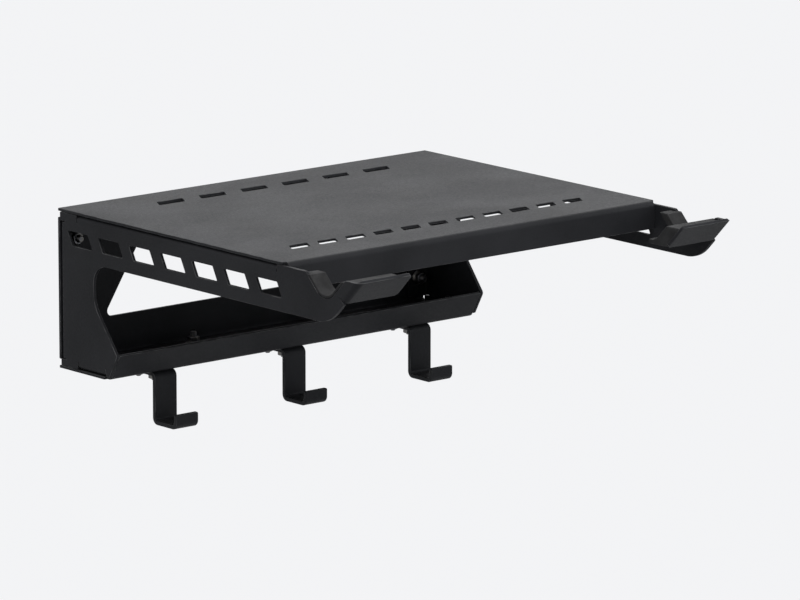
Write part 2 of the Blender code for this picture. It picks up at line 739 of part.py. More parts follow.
def build_pads(finish: bpy.types.Material) -> None:
    """A rubber V block inside each arm's nose, whose skin laps over the panel's edge."""
    side = -PANEL_SIDE
    left = flat_plate("pad", [pad_outline()], side, side + PAD_WIDTH, UPRIGHT_ALONG_ARM)
    cutters = [
        flat_plate("rebate", [pad_rebate()], -WIDTH, -INNER_SIDE, UPRIGHT_ALONG_ARM),
        flat_plate("relief", [pad_bend_relief()], -WIDTH, side + BEND_RADIUS + GAP, UPRIGHT_ALONG_ARM),
        box(at(side + PAD_LEG_WIDTH, TUBE_DEPTH - PAD_REAR, 0), at(0, 0, 2 * HEIGHT)),
    ]
    left_pad = piece("left_cradle_pad", left, finish)
    right_pad = piece("right_cradle_pad", mirrored(left), finish)
    for cutter in cutters:
        cut(left_pad, [cutter])
        cut(right_pad, [mirrored(cutter)])


def turned(profile: list) -> bpy.types.Mesh:
    """Mesh of a (radius, height) profile turned about the upright axis."""
    work = bmesh.new()
    chain = [work.verts.new((radius, 0, height)) for radius, height in profile]
    edges = [work.edges.new(pair) for pair in zip(chain, chain[1:])]
    bmesh.ops.spin(work, geom=chain + edges, axis=(0, 0, 1), cent=(0, 0, 0), angle=2 * math.pi,
                   steps=ROUND_SIDES, use_merge=True)
    bmesh.ops.remove_doubles(work, verts=work.verts, dist=WELD)
    bmesh.ops.recalc_face_normals(work, faces=work.faces)
    mesh = bpy.data.meshes.new("turned")
    work.to_mesh(mesh)
    work.free()
    return mesh


def fused(meshes: list) -> bpy.types.Mesh:
    """One closed body made of overlapping meshes."""
    things = []
    for mesh in meshes:
        thing = bpy.data.objects.new("fused", mesh)
        bpy.context.scene.collection.objects.link(thing)
        things.append(thing)
    for other in things[1:]:
        boolean = things[0].modifiers.new("union", "BOOLEAN")
        boolean.operation = "UNION"
        boolean.solver = "EXACT"
        boolean.object = other
    whole = mesh_of(things[0])
    for thing in things:
        bpy.data.objects.remove(thing, do_unlink=True)
    return whole


def flange_nut(width: float, height: float, flange: float, sheet: float, bore: float) -> bpy.types.Mesh:
    """A hexagon nut with a round flange, its flange's face at height 0."""
    hexagon = circle(0, 0, width / math.sqrt(3), sides=6)
    hole = circle(0, 0, bore)
    nut = fused([
        flat_plate("flange", [circle(0, 0, flange)], 0.0, sheet, LEVEL),
        flat_plate("hexagon", [hexagon], sheet / 2, height, LEVEL),
    ])
    cutter = flat_plate("bore", [hole], -sheet, height + sheet, LEVEL)
    thing = bpy.data.objects.new("nut", nut)
    bpy.context.scene.collection.objects.link(thing)
    cut(thing, [cutter])
    bored = mesh_of(thing)
    bpy.data.objects.remove(thing, do_unlink=True)
    bpy.data.objects.remove(bpy.data.objects["nut_cutter"], do_unlink=True)
    return bored


def stamp(name: str, mesh: bpy.types.Mesh, place: Matrix) -> None:
    """One fastener: an object of its own that shares its mesh with its like."""
    thing = bpy.data.objects.new(name, mesh)
    bpy.data.collections[COLLECTION].objects.link(thing)
    thing.matrix_basis = place


def finished_fastener(mesh: bpy.types.Mesh, finish: bpy.types.Material) -> bpy.types.Mesh:
    """A fastener's mesh, smooth where it is round, in its material."""
    mesh.materials.clear()
    mesh.materials.append(finish)
    mesh.shade_smooth()
    mesh.set_sharp_from_angle(angle=SMOOTH_ANGLE)
    return mesh


def build_studs(finish: bpy.types.Material) -> None:
    """Welded studs on the shelf, the tray and the back plate, each with its flange nut."""
    down = Matrix.Rotation(math.pi, 4, "X")
    forward = Matrix.Rotation(math.pi / 2, 4, "X")
    upright = Matrix.Identity(4)
    under_shelf = HEIGHT - PLATE_SHEET
    seats = {}
    for name, (x, depth) in shelf_stud_places().items():
        seats["shelf", name] = Matrix.Translation(at(x, depth, under_shelf)) @ down
    for name, (x, depth) in tray_stud_places().items():
        seats["tray", name] = Matrix.Translation(at(x, depth, PLATE_SHEET)) @ upright
    for name, (x, height) in back_stud_places().items():
        seats["back", name] = Matrix.Translation(at(x, PLATE_SHEET, height)) @ forward
    stud = finished_fastener(turned([
        (0, 0),
        (STUD_RADIUS, 0),
        (STUD_RADIUS, STUD_LENGTH - STUD_CHAMFER),
        (STUD_RADIUS - STUD_CHAMFER, STUD_LENGTH),
        (0, STUD_LENGTH),
    ]), finish)
    nut = finished_fastener(flange_nut(NUT_WIDTH, NUT_HEIGHT, NUT_FLANGE_RADIUS, NUT_FLANGE_SHEET,
                                       STUD_RADIUS + GAP), finish)
    for (sheet, name), seat in seats.items():
        held = PLATE_SHEET if name.startswith("back_") else SIDE_SHEET
        stamp(f"{sheet}_stud_{name}", stud, seat @ Matrix.Translation((0, 0, GAP)))
        stamp(f"{sheet}_nut_{name}", nut, seat @ Matrix.Translation((0, 0, held + 2 * GAP)))


def build_hook_fasteners(finish: bpy.types.Material) -> None:
    """Button-head screws down through the tray and the hook flanges, each with its flange nut."""
    head_seat = PLATE_SHEET + GAP
    nut_top = -HOOK_SHEET - 2 * GAP
    end = nut_top - SMALL_NUT_HEIGHT - SCREW_END
    screw = finished_fastener(turned([
        (0, end),
        (SCREW_RADIUS, end),
        (SCREW_RADIUS, head_seat),
        (SCREW_HEAD_RADIUS, head_seat),
        (SCREW_HEAD_RADIUS, head_seat + SCREW_HEAD_EDGE),
        (SCREW_CROWN_RADIUS, head_seat + SCREW_HEAD_HEIGHT),
        (0, head_seat + SCREW_HEAD_HEIGHT),
    ]), finish)
    nut = finished_fastener(flange_nut(SMALL_NUT_WIDTH, SMALL_NUT_HEIGHT, SMALL_FLANGE_RADIUS,
                                       SMALL_FLANGE_SHEET, SCREW_RADIUS + GAP), finish)
    down = Matrix.Rotation(math.pi, 4, "X")
    for name, (x, depth) in hook_screw_places().items():
        stamp(f"hook_screw_{name}", screw, Matrix.Translation(at(x, depth, 0)))
        stamp(f"hook_nut_{name}", nut, Matrix.Translation(at(x, depth, nut_top)) @ down)


def carry_to_origin() -> None:
    """Hang all pieces and cutters on one empty, so that the wall mount is the origin."""
    carrier = bpy.data.objects.new("wall_mount_frame", None)
    bpy.data.collections[COLLECTION].objects.link(carrier)
    carrier.location = (0, 0, -MOUNT_HEIGHT)
    for name in (COLLECTION, CUTTERS):
        for thing in bpy.data.collections[name].objects:
            if thing is not carrier:
                thing.parent = carrier


def main() -> None:
    """Build every piece of the bike hanger."""
    tidy_scene()
    steel = coated_steel()
    build_side_panels(steel)
    build_shelf(steel)
    build_tray(steel)
    build_back(steel)
    build_hooks(steel)
    build_pads(pad_rubber())
    fastener_steel = dark_fastener_steel()
    build_studs(fastener_steel)
    build_hook_fasteners(fastener_steel)
    carry_to_origin()
    bpy.context.view_layer.update()


if __name__ == "__main__":
    main()
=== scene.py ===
"""Detailed look of a wall-mounted bike hanger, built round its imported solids.

Each sheet is drawn flat with lines and arcs, given its thickness and rounded edges, scored across
its bends and then folded up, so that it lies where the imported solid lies. Lengths are metres. The
wall is the plane y = 0, +X runs along it and +Z is up. Inside the classes a place is given by x, by
its depth out of the wall and by its height over the foot of the hanger.
"""

import json
import logging
import math
from dataclasses import dataclass, field
from enum import Enum

import bmesh
import bpy
from mathutils import Matrix, Vector


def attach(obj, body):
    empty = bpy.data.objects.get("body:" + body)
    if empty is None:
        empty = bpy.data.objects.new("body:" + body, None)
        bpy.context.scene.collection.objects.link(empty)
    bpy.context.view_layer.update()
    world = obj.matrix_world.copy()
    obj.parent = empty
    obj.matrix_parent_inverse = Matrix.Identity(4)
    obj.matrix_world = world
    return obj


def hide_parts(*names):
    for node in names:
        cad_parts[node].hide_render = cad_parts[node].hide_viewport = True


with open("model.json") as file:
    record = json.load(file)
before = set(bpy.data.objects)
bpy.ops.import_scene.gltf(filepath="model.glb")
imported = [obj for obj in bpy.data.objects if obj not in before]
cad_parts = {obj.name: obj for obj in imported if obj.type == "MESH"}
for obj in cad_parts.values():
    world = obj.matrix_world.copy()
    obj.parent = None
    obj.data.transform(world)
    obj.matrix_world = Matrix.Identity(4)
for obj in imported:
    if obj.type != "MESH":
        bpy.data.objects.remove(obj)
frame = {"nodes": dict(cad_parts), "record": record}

log = logging.getLogger("bike_hanger")

BMesh = bmesh.types.BMesh
Mesh = bpy.types.Mesh
Socket = bpy.types.NodeSocket
Spot = tuple[float, float]
Triple = tuple[float, float, float]
Value = Socket | float | Triple
Vert = bmesh.types.BMVert

ROOT_BODY = "root"
# Mask of the middles of rounded edges: it places real edge wear and also painted edge highlights.
EDGE_WEAR_AND_HIGHLIGHT_LAYER = "edge_wear_and_highlight"
WELD = 0.000002
CARVE_WELD = 0.00002
ARC_SAG = 0.00001
ARC_STEP = math.radians(7.5)
LEAST_ARC_STEPS = 3
HOLE_STEPS = 28
TURNED_STEPS = 48
ROUND_BEVEL = 0.5
FLAT_ANGLE = math.radians(1)
FINE_ANGLE = math.radians(22)
FLAT_FACE_WEIGHT = 100


class Side(Enum):
    """Which side of the hanger a piece belongs to, as someone facing the wall sees it."""

    LEFT = "left"
    RIGHT = "right"


class Coat(Enum):
    """The record's material slots."""

    POWDER = "powder_coated_steel"
    RUBBER = "cradle_rubber"
    ZINC = "black_zinc_steel"


def both_sides(x: float) -> list[tuple[str, float]]:
    """The same distance to the left and to the right of the middle, each with its side's name."""
    return [(Side.LEFT.value, -x), (Side.RIGHT.value, x)]


@dataclass(frozen=True)
class Corner:
    """A corner of a flat outline, rounded by an arc unless its radius is 0."""

    a: float
    b: float
    radius: float = 0.0

    @property
    def place(self) -> Vector:
        """The corner as a point of the drawing plane."""
        return Vector((self.a, self.b, 0.0))


@dataclass(frozen=True)
class Hanger:
    """Sizes and places that several sub-assemblies share."""

    width: float = 0.345
    height: float = 0.117
    shelf_depth: float = 0.258
    tray_depth: float = 0.057
    tray_lip_reach: float = 0.0105
    tray_lip_rise: float = 0.019
    side_sheet: float = 0.0025
    plate_sheet: float = 0.0020
    bend_radius: float = 0.0040
    corner_radius: float = 0.0030
    small_corner: float = 0.0008
    relief_width: float = 0.0015
    gap: float = 0.0003
    flange_width: float = 0.020
    stud_inset: float = 0.011
    stud_hole: float = 0.0028
    hook_side: float = 0.0525
    edge_radius: float = 0.00038
    upper_band: float = 0.029

    @property
    def side(self) -> float:
        """Half of the width, where the side panels' outer faces lie."""
        return self.width / 2

    @property
    def inner_side(self) -> float:
        """How far from the middle a fold may reach between the side panels."""
        return self.side - self.side_sheet - self.gap

    @property
    def hook_pitch(self) -> float:
        """Distance from the middle hook to an outer one."""
        return self.side - self.hook_side

    @property
    def panel_back(self) -> float:
        """Depth of the side panels' rear edge, and the height of their lower edge."""
        return self.plate_sheet + self.gap

    @property
    def panel_top(self) -> float:
        """Height of the side panels' upper edge."""
        return self.height - self.plate_sheet - self.gap

    @property
    def window_top(self) -> float:
        """Height of the back window's upper edge."""
        return self.height - self.upper_band

    @property
    def mount_height(self) -> float:
        """Height of the wall mount, which is the origin."""
        return (self.window_top + self.panel_top - self.plate_sheet) / 2

    @property
    def bend_clearance(self) -> float:
        """How far a notch reaches past an edge to clear the edge's bend."""
        return self.bend_radius + self.gap

    def at(self, x: float, depth: float, height: float) -> Vector:
        """The point of the frame at an x, a depth out of the wall and a height over the foot."""
        return Vector((x, -depth, height - self.mount_height))

    def tray_lip_depth(self, height: float) -> float:
        """Depth of the tray lip's outer face at a height over the foot."""
        return self.tray_depth + self.tray_lip_reach * height / self.tray_lip_rise

    def studs(self) -> dict[str, dict[str, Spot]]:
        """Where the studs stand on the shelf, the tray and the back plate.

        Returns:
            For each sheet, by a stud's name, its x and its depth, or its x and its height on the back plate.
        """
        start = self.panel_back + self.flange_width
        rows = {
            "shelf": {"_front": self.shelf_depth - self.flange_width - self.stud_inset,
                      "_rear": start + self.flange_width},
            "tray": {"": (start + self.tray_depth) / 2},
            "back": {"_low": start, "_high": self.panel_top - self.flange_width},
        }
        ends = both_sides(self.side - self.stud_inset)
        found = {sheet: {f"{side}{row}": (x, place) for side, x in ends for row, place in places.items()}
                 for sheet, places in rows.items()}
        for sheet in ("shelf", "tray"):
            for side, x in both_sides(self.hook_pitch / 2):
                found[sheet][f"back_{side}"] = (x, self.panel_back + self.stud_inset)
        return found


HANGER = Hanger()


# Drawing and folding sheets


def drawn_out(work: BMesh, rise: float) -> BMesh:
    """Give flat faces a thickness along Z.

    Args:
        work: The flat faces, changed in place.
        rise: How far up they are drawn out, or down if negative.

    Returns:
        The closed solid.
    """
    made = bmesh.ops.extrude_face_region(work, geom=work.faces[:], use_keep_orig=True)
    moved = [item for item in made["geom"] if isinstance(item, Vert)]
    bmesh.ops.translate(work, verts=moved, vec=(0, 0, rise))
    bmesh.ops.recalc_face_normals(work, faces=work.faces)
    return work


class Drawing:
    """Flat outlines drawn with lines and arcs, filled and given a thickness."""

    def __init__(self) -> None:
        """Start an empty drawing."""
        self.work: BMesh = bmesh.new()

    def outline(self, corners: list[Corner]) -> None:
        """Draw a closed outline with rounded corners.

        Args:
            corners: The corners in order round the outline.
        """
        ends = [
            self._corner(before, corner, after)
            for before, corner, after in zip(corners[-1:] + corners, corners, corners[1:] + corners[:1])
        ]
        for (_, finish), (start, _) in zip(ends, ends[1:] + ends[:1]):
            if (finish.co - start.co).length > WELD:
                self.work.edges.new((finish, start))

    def symmetric(self, right: list[Corner]) -> None:
        """Draw a closed outline from the corners of its right half, from the foot up."""
        left = [Corner(-corner.a, corner.b, corner.radius) for corner in reversed(right)]
        self.outline(left[-1:] + right + left[:-1])

    def circle(self, a: float, b: float, radius: float) -> None:
        """Draw a round hole of this radius round the point (a, b)."""
        bmesh.ops.create_circle(self.work, cap_ends=False, segments=HOLE_STEPS, radius=radius,
                                matrix=Matrix.Translation((a, b, 0.0)))

    def _corner(self, before: Corner, corner: Corner, after: Corner) -> tuple[Vert, Vert]:
        """Draw one corner as an arc, or as a single point where it is sharp.

        Args:
            before: The corner in front of it.
            corner: The corner itself.
            after: The corner behind it.

        Returns:
            The first and last vertex of the corner.
        """
        if corner.radius == 0:
            point = self.work.verts.new(corner.place)
            return point, point
        to_before = (before.place - corner.place).normalized()
        to_after = (after.place - corner.place).normalized()
        half = to_before.angle(to_after) / 2
        centre = corner.place + (to_before + to_after).normalized() * corner.radius / math.sin(half)
        turn = math.pi - 2 * half
        if to_before.cross(to_after).z > 0:
            turn = -turn
        start = self.work.verts.new(corner.place + to_before * corner.radius / math.tan(half))
        step = min(ARC_STEP, 2 * math.acos(max(0.0, 1 - ARC_SAG / corner.radius)))
        steps = max(LEAST_ARC_STEPS, math.ceil(abs(turn) / step))
        made = bmesh.ops.spin(self.work, geom=[start], cent=centre, axis=(0, 0, 1), angle=turn, steps=steps)
        finish = next(item for item in made["geom_last"] if isinstance(item, Vert))
        return start, finish

    def sheet(self, thickness: float) -> BMesh:
        """Fill the outlines and give the face a thickness below the drawing plane.

        Args:
            thickness: Thickness of the sheet.

        Returns:
            The closed sheet, its outer face on the drawing plane.
        """
        bmesh.ops.remove_doubles(self.work, verts=self.work.verts, dist=WELD)
        bmesh.ops.triangle_fill(self.work, use_beauty=True, edges=self.work.edges, normal=(0, 0, 1))
        return drawn_out(self.work, -thickness)


def soften(work: BMesh, radius: float, segments: int = 2,
           least_angle: float = math.radians(50), clamp: bool = False) -> None:
    """Round the sharp edges of a piece and mark the middle of each rounding for edge wear and painted edge
    highlights.

    Args:
        work: The piece, changed in place.
        radius: Radius of the rounding.
        segments: How many strips each rounding has.
        least_angle: Least angle between two faces whose edge is rounded.
        clamp: Whether the radius gives way where edges lie close together.
    """
    # This mask carries both edge wear and painted edge highlights.
    wear = work.verts.layers.float.get(EDGE_WEAR_AND_HIGHLIGHT_LAYER) or work.verts.layers.float.new(EDGE_WEAR_AND_HIGHLIGHT_LAYER)
    sharp = [edge for edge in work.edges if edge.is_manifold and edge.calc_face_angle() > least_angle]
    made = bmesh.ops.bevel(work, geom=sharp, offset=radius, offset_type="OFFSET", segments=segments,
                           profile=ROUND_BEVEL, affect="EDGES", clamp_overlap=clamp, loop_slide=False,
                           material=-1)
    rounded = set(made["faces"])
    for vert in {vert for face in rounded for vert in face.verts}:
        if all(face in rounded for face in vert.link_faces):
            vert[wear] = 1.0


def cut_across(work: BMesh, point: Vector, normal: Vector, keep_both: bool = True) -> None:
    """Cut the faces of a piece along a plane.

    Args:
        work: The piece, changed in place.
        point: A point of the plane.
        normal: The plane's normal.
        keep_both: Whether the part that the normal points to stays.
    """
    parts = work.verts[:] + work.edges[:] + work.faces[:]
    bmesh.ops.bisect_plane(work, geom=parts, dist=WELD, plane_co=point, plane_no=normal,
                           clear_outer=not keep_both)


@dataclass(frozen=True)
class Run:
    """A straight stretch of a sheet's side view, or one that turns left by an angle."""

    start: float
    length: float
    at: Vector
    heading: Vector
    turn: float = 0.0
    radius: float = 0.0

    @property
    def end(self) -> float:
        """Where it ends along the flat sheet."""
        return self.start + self.length

    def place(self, passed: float, lift: float) -> Vector:
        """A point of the side view.

        Args:
            passed: Distance along the stretch.
            lift: Height over the sheet's outer face.

        Returns:
            The point as (across, up).
        """
        outward = Vector((-self.heading.y, self.heading.x))
        if not self.turn:
            return self.at + self.heading * passed + outward * lift
        bend = math.copysign(self.radius, self.turn)
        turned = outward * math.cos(passed / bend) - self.heading * math.sin(passed / bend)
        return self.at + outward * bend + turned * (lift - bend)


@dataclass
class Profile:
    """Side view of a bent sheet, its corners as (across, up, radius of the sheet's left face)."""

    corners: list[Triple]
    bend_strips: int = 8
    runs: list[Run] = field(init=False, default_factory=list)

    def __post_init__(self) -> None:
        """Lay straight and curved stretches out along the flat sheet by turns."""
        points = [Vector(corner[:2]) for corner in self.corners]
        headings = [(after - before).normalized() for before, after in zip(points, points[1:])]
        place, reached = points[0], 0.0
        for heading, following, point, corner in zip(headings, headings[1:], points[1:], self.corners[1:]):
            turn = math.atan2(heading.x * following.y - heading.y * following.x, heading.dot(following))
            radius = corner[2]
            reach = radius * math.tan(abs(turn) / 2)
            straight = (point - place).length - reach
            bend_at = place + heading * straight
            bend = Run(reached + straight, radius * abs(turn), bend_at, heading, turn, radius)
            self.runs += [Run(reached, straight, place, heading), bend]
            place, reached = point + following * reach, bend.end
        self.runs.append(Run(reached, (points[-1] - place).length, place, headings[-1]))

    @property
    def length(self) -> float:
        """Length of the sheet when it lies flat."""
        return self.runs[-1].end

    def at_depth(self, straight: int, depth: float) -> float:
        """Where a depth lies along the flat sheet, on the straight stretch of this number."""
        run = self.runs[2 * straight]
        return run.start + (depth - run.at.x) / run.heading.x

    def at_height(self, straight: int, height: float) -> float:
        """Where a height lies along the flat sheet, on the straight stretch of this number."""
        run = self.runs[2 * straight]
        return run.start + (height - run.at.y) / run.heading.y

    def scores(self) -> list[float]:
        """Where the flat sheet is cut across for its bends."""
        return [bend.start + bend.length * step / self.bend_strips
                for bend in self.runs[1::2] for step in range(self.bend_strips + 1)]

    def place(self, along: float, lift: float) -> Vector:
        """The side view's point at a place along the flat sheet and a height over its outer face."""
        run = next((run for run in self.runs if along <= run.end), self.runs[-1])
        return run.place(along - run.start, lift)

    def folded(self, drawing: Drawing, thickness: float, edge_radius: float) -> Mesh:
        """Cut out a sheet, round its edges, score it across its bends and fold it.

        Args:
            drawing: Its flat outlines, x by distance along the sheet.
            thickness: Its thickness.
            edge_radius: Radius of its rounded edges.

        Returns:
            Its mesh in place.
        """
        work = drawing.sheet(thickness)
        soften(work, edge_radius)
        for along in self.scores():
            cut_across(work, Vector((0, along, 0)), Vector((0, 1, 0)))
        for vert in work.verts:
            vert.co = HANGER.at(vert.co.x, *self.place(vert.co.y, vert.co.z))
        return finished_mesh(work)


@dataclass
class Fold:
    """A flange folded in square along one straight edge of a flat panel that lies on its left."""

    start: Vector
    end: Vector
    reach: float
    slack: float = 0.0002
    profile: Profile = field(init=False)

    def __post_init__(self) -> None:
        """Draw the side view, out of the edge by height over the panel."""
        self.profile = Profile([(-self.radius, 0, 0), (0, 0, self.radius), (0, -self.reach, 0)])

    @property
    def radius(self) -> float:
        """Outer radius of the bend, which starts this far inside the edge."""
        return HANGER.bend_radius

    @property
    def along(self) -> Vector:
        """Direction of the edge."""
        return (self.end - self.start).normalized()

    @property
    def outward(self) -> Vector:
        """Direction out of the panel, square to the edge."""
        return Vector((self.along.y, -self.along.x, 0))

    def flat_reach(self, reach: float) -> float:
        """How far out of the edge a reach from the panel's outer face lies on the flat sheet."""
        return self.profile.at_height(1, -reach) - self.radius

    def score(self, work: BMesh) -> None:
        """Cut the flat sheet along the strips of this bend."""
        for along in self.profile.scores():
            cut_across(work, self.start + self.outward * (along - self.radius), self.outward)

    def place(self, point: Vector) -> Vector | None:
        """Where a point of the flat sheet lies once this flange is folded in.

        Args:
            point: The point before folding.

        Returns:
            The point after folding, or None where it isn't on the flange.
        """
        offset = Vector((point.x, point.y, 0)) - self.start
        along = offset.dot(self.along)
        passed = offset.dot(self.outward) + self.radius
        length = (self.end - self.start).length
        if passed <= 0 or not -self.slack <= along <= length + self.slack:
            return None
        out, up = self.profile.place(passed, point.z)
        spot = self.start + self.along * along + self.outward * out
        return Vector((spot.x, spot.y, up))


# Finishes


class Where(Enum):
    """What part of a surface a layer of its finish lies on."""

    ALL = "all over"
    EDGES = "rounded edges"
    TOPS = "what looks up"


@dataclass(frozen=True)
class Span:
    """A range of values and the range that it is stretched to, with soft ends."""

    low: float
    high: float
    to_low: float = 0.0
    to_high: float = 1.0


@dataclass(frozen=True)
class Noise:
    """Noise by its waves per metre, stretched to a span if it has one."""

    scale: float
    detail: float = 2.0
    roughness: float = 0.5
    stretch: Triple = (1.0, 1.0, 1.0)
    span: Span | None = None


@dataclass(frozen=True)
class Layer:
    """A colour laid over a surface, and how much rougher the surface is under it."""

    name: str
    colour: Triple
    cover: Noise | float
    where: Where = Where.ALL
    roughness: float = 0.0


LEVEL_FACES = Span(0.75, 1.0)


class NodeSketch:
    """Adds shader nodes to a material or a world and links them."""

    def __init__(self, owner: bpy.types.Material | bpy.types.World) -> None:
        """Work on the nodes of a material or a world."""
        owner.use_nodes = True
        self.tree = owner.node_tree

    def feed(self, node: bpy.types.Node, inputs: dict[str | int, Value]) -> None:
        """Give inputs of a node constants or other nodes' outputs.

        Args:
            node: The node.
            inputs: A number, a colour or direction, or an output by the input's name or number.
        """
        for key, value in inputs.items():
            target = node.inputs[key]
            if isinstance(value, Socket):
                self.tree.links.new(value, target)
            else:
                target.default_value = (*value, 1.0) if target.type == "RGBA" else value

    def node(self, kind: str, inputs: dict[str | int, Value], **settings: object) -> bpy.types.Node:
        """Add a node.

        Args:
            kind: Blender's name of the node type.
            inputs: What its inputs get.
            **settings: Properties of the node itself.

        Returns:
            The new node.
        """
        made = self.tree.nodes.new(kind)
        for name, setting in settings.items():
            setattr(made, name, setting)
        self.feed(made, inputs)
        return made

    def calculate(self, operation: str, first: Value, second: Value) -> Socket:
        """Work out one sum of two values, by Blender's name of the operation."""
        return self.node("ShaderNodeMath", {0: first, 1: second}, operation=operation).outputs["Value"]

    def show_backdrop(self, kind: str, colour: Triple, share: float, lit: Socket, output: str) -> None:
        """Show a plain colour, in place of what is lit, to the rays that see the backdrop.

        Args:
            kind: Blender's name of the glowing node type.
            colour: The colour that is shown.
            share: How much of it those rays see.
            lit: The shader that all other rays meet.
            output: Name of the tree's output node.
        """
        rays = self.node("ShaderNodeLightPath", {}).outputs
        seen = rays["Is Camera Ray"]
        for ray in ("Is Glossy Ray", "Is Transmission Ray"):
            seen = self.calculate("MAXIMUM", seen, rays[ray])
        glow = self.node(kind, {"Color": colour, "Strength": 1.0}).outputs[0]
        share_seen = self.calculate("MULTIPLY", seen, share)
        mix = self.node("ShaderNodeMixShader", {"Fac": share_seen, 1: lit, 2: glow})
        self.feed(self.tree.nodes[output], {"Surface": mix.outputs["Shader"]})


class FinishSketch(NodeSketch):
    """The shader nodes of one new material."""

    def __init__(self, name: str) -> None:
        """Start a material with a plain surface.

        Args:
            name: Name of the material.
        """
        self.material = bpy.data.materials.new(name)
        super().__init__(self.material)
        self.shader = self.tree.nodes["Principled BSDF"]
        self.object_place = self.node("ShaderNodeTexCoord", {}).outputs["Object"]

    def stretched(self, value: Socket, span: Span) -> Socket:
        """A value stretched from one range to another.

        Args:
            value: The value.
            span: The two ranges.

        Returns:
            The stretched value.
        """
        ends = {"From Min": span.low, "From Max": span.high, "To Min": span.to_low, "To Max": span.to_high}
        made = self.node("ShaderNodeMapRange", {"Value": value} | ends, interpolation_type="SMOOTHSTEP")
        return made.outputs["Result"]

    def noise(self, pattern: Noise) -> Socket:
        """Noise over the piece.

        Args:
            pattern: What it is like.

        Returns:
            The noise from 0 to 1, or over its own span.
        """
        mapping = self.node("ShaderNodeMapping", {"Vector": self.object_place, "Scale": pattern.stretch})
        made = self.node("ShaderNodeTexNoise", {
            "Vector": mapping.outputs["Vector"],
            "Scale": pattern.scale,
            "Detail": pattern.detail,
            "Roughness": pattern.roughness,
        })
        return self.stretched(made.outputs["Fac"], pattern.span) if pattern.span else made.outputs["Fac"]

    def cover(self, layer: Layer) -> Socket:
        """How much of the surface a layer covers.

        Args:
            layer: The layer.

        Returns:
            Its share from 0 to 1.
        """
        share = self.noise(layer.cover) if isinstance(layer.cover, Noise) else layer.cover
        if layer.where is Where.ALL:
            return share
        if layer.where is Where.EDGES:
            place = self.node("ShaderNodeAttribute", {}, attribute_name=EDGE_WEAR_AND_HIGHLIGHT_LAYER).outputs["Fac"]
        else:
            normal = self.node("ShaderNodeNewGeometry", {}).outputs["Normal"]
            upward = self.node("ShaderNodeSeparateXYZ", {"Vector": normal}).outputs["Z"]
            place = self.stretched(upward, LEVEL_FACES)
        return self.calculate("MULTIPLY", place, share)


@dataclass(frozen=True)
class Finish:
    """A finish: a colour under layers of others, an uneven roughness and a fine relief."""

    name: str
    colour: Triple
    layers: tuple[Layer, ...]
    roughness: float
    uneven: tuple[Noise, ...] = ()
    specular: float = 0.5
    metallic: float = 0.0
    relief: tuple[tuple[Noise, float], ...] = ()
    relief_strength: float = 0.0
    relief_depth: float = 0.0

    def sketch(self) -> FinishSketch:
        """Lay the shader nodes of the finish.

        Returns:
            The sketch with the new material.
        """
        sketch = FinishSketch(self.name)
        colour, rough, height = self.colour, self.roughness, 0.0
        for pattern in self.uneven:
            rough = sketch.calculate("ADD", rough, sketch.noise(pattern))
        for layer in self.layers:
            cover = sketch.cover(layer)
            mix = sketch.node("ShaderNodeMix", {"Factor": cover, "A": colour, "B": layer.colour},
                              data_type="RGBA", label=layer.name)
            colour = mix.outputs["Result"]
            if layer.roughness:
                rough = sketch.calculate("ADD", rough, sketch.calculate("MULTIPLY", cover, layer.roughness))
        for pattern, share in self.relief:
            wave = sketch.calculate("MULTIPLY", sketch.noise(pattern), share)
            height = sketch.calculate("ADD", height, wave)
        surface = {"Base Color": colour, "Roughness": rough, "Specular IOR Level": self.specular}
        sketch.feed(sketch.shader, surface | {"Metallic": self.metallic})
        if self.relief:
            size = {"Strength": self.relief_strength, "Distance": self.relief_depth}
            bump = sketch.node("ShaderNodeBump", size | {"Height": height})
            sketch.feed(sketch.shader, {"Normal": bump.outputs["Normal"]})
        return sketch


@dataclass(frozen=True)
class PowderCoat(Finish):
    """Fine-textured black powder coat, rubbed edges with a painted highlight, a little dust on what looks
    up.
    """

    name: str = "fine_texture_black_powder_coat"
    colour: Triple = (0.0100, 0.0104, 0.0120)
    layers: tuple[Layer, ...] = (
        Layer("clouds", (0.0185, 0.0190, 0.0215), Noise(16, 4, span=Span(0.3, 0.7))),
        Layer("speckle", (0.0185, 0.0190, 0.0215), Noise(1500, 0, span=Span(0.62, 0.72, 0.0, 0.5))),
        # Paler patches on the rounded edges: partly rubbed wear, partly a painted highlight along the edges.
        Layer("rubbed", (0.150, 0.150, 0.152), Noise(85, 3, span=Span(0.38, 0.66, 0.08, 0.85)),
              Where.EDGES, roughness=-0.12),
        Layer("dust", (0.115, 0.113, 0.109), Noise(22, 7, 0.68, span=Span(0.34, 0.74, 0.05, 0.17)),
              Where.TOPS, roughness=0.25),
        Layer("hairs", (0.150, 0.150, 0.152),
              Noise(60, stretch=(1.0, 14.0, 1.0), span=Span(0.70, 0.78, 0.0, 0.14)), Where.TOPS),
    )
    roughness: float = 0.56
    uneven: tuple[Noise, ...] = (
        Noise(620, span=Span(0.2, 0.8, -0.05, 0.05)),
        Noise(11, 3, stretch=(1.0, 1.6, 1.0), span=Span(0.35, 0.65, -0.025, 0.025)),
    )
    specular: float = 0.12
    relief: tuple[tuple[Noise, float], ...] = ((Noise(620), 0.45), (Noise(2600), 0.55))
    relief_strength: float = 0.60
    relief_depth: float = 0.00022


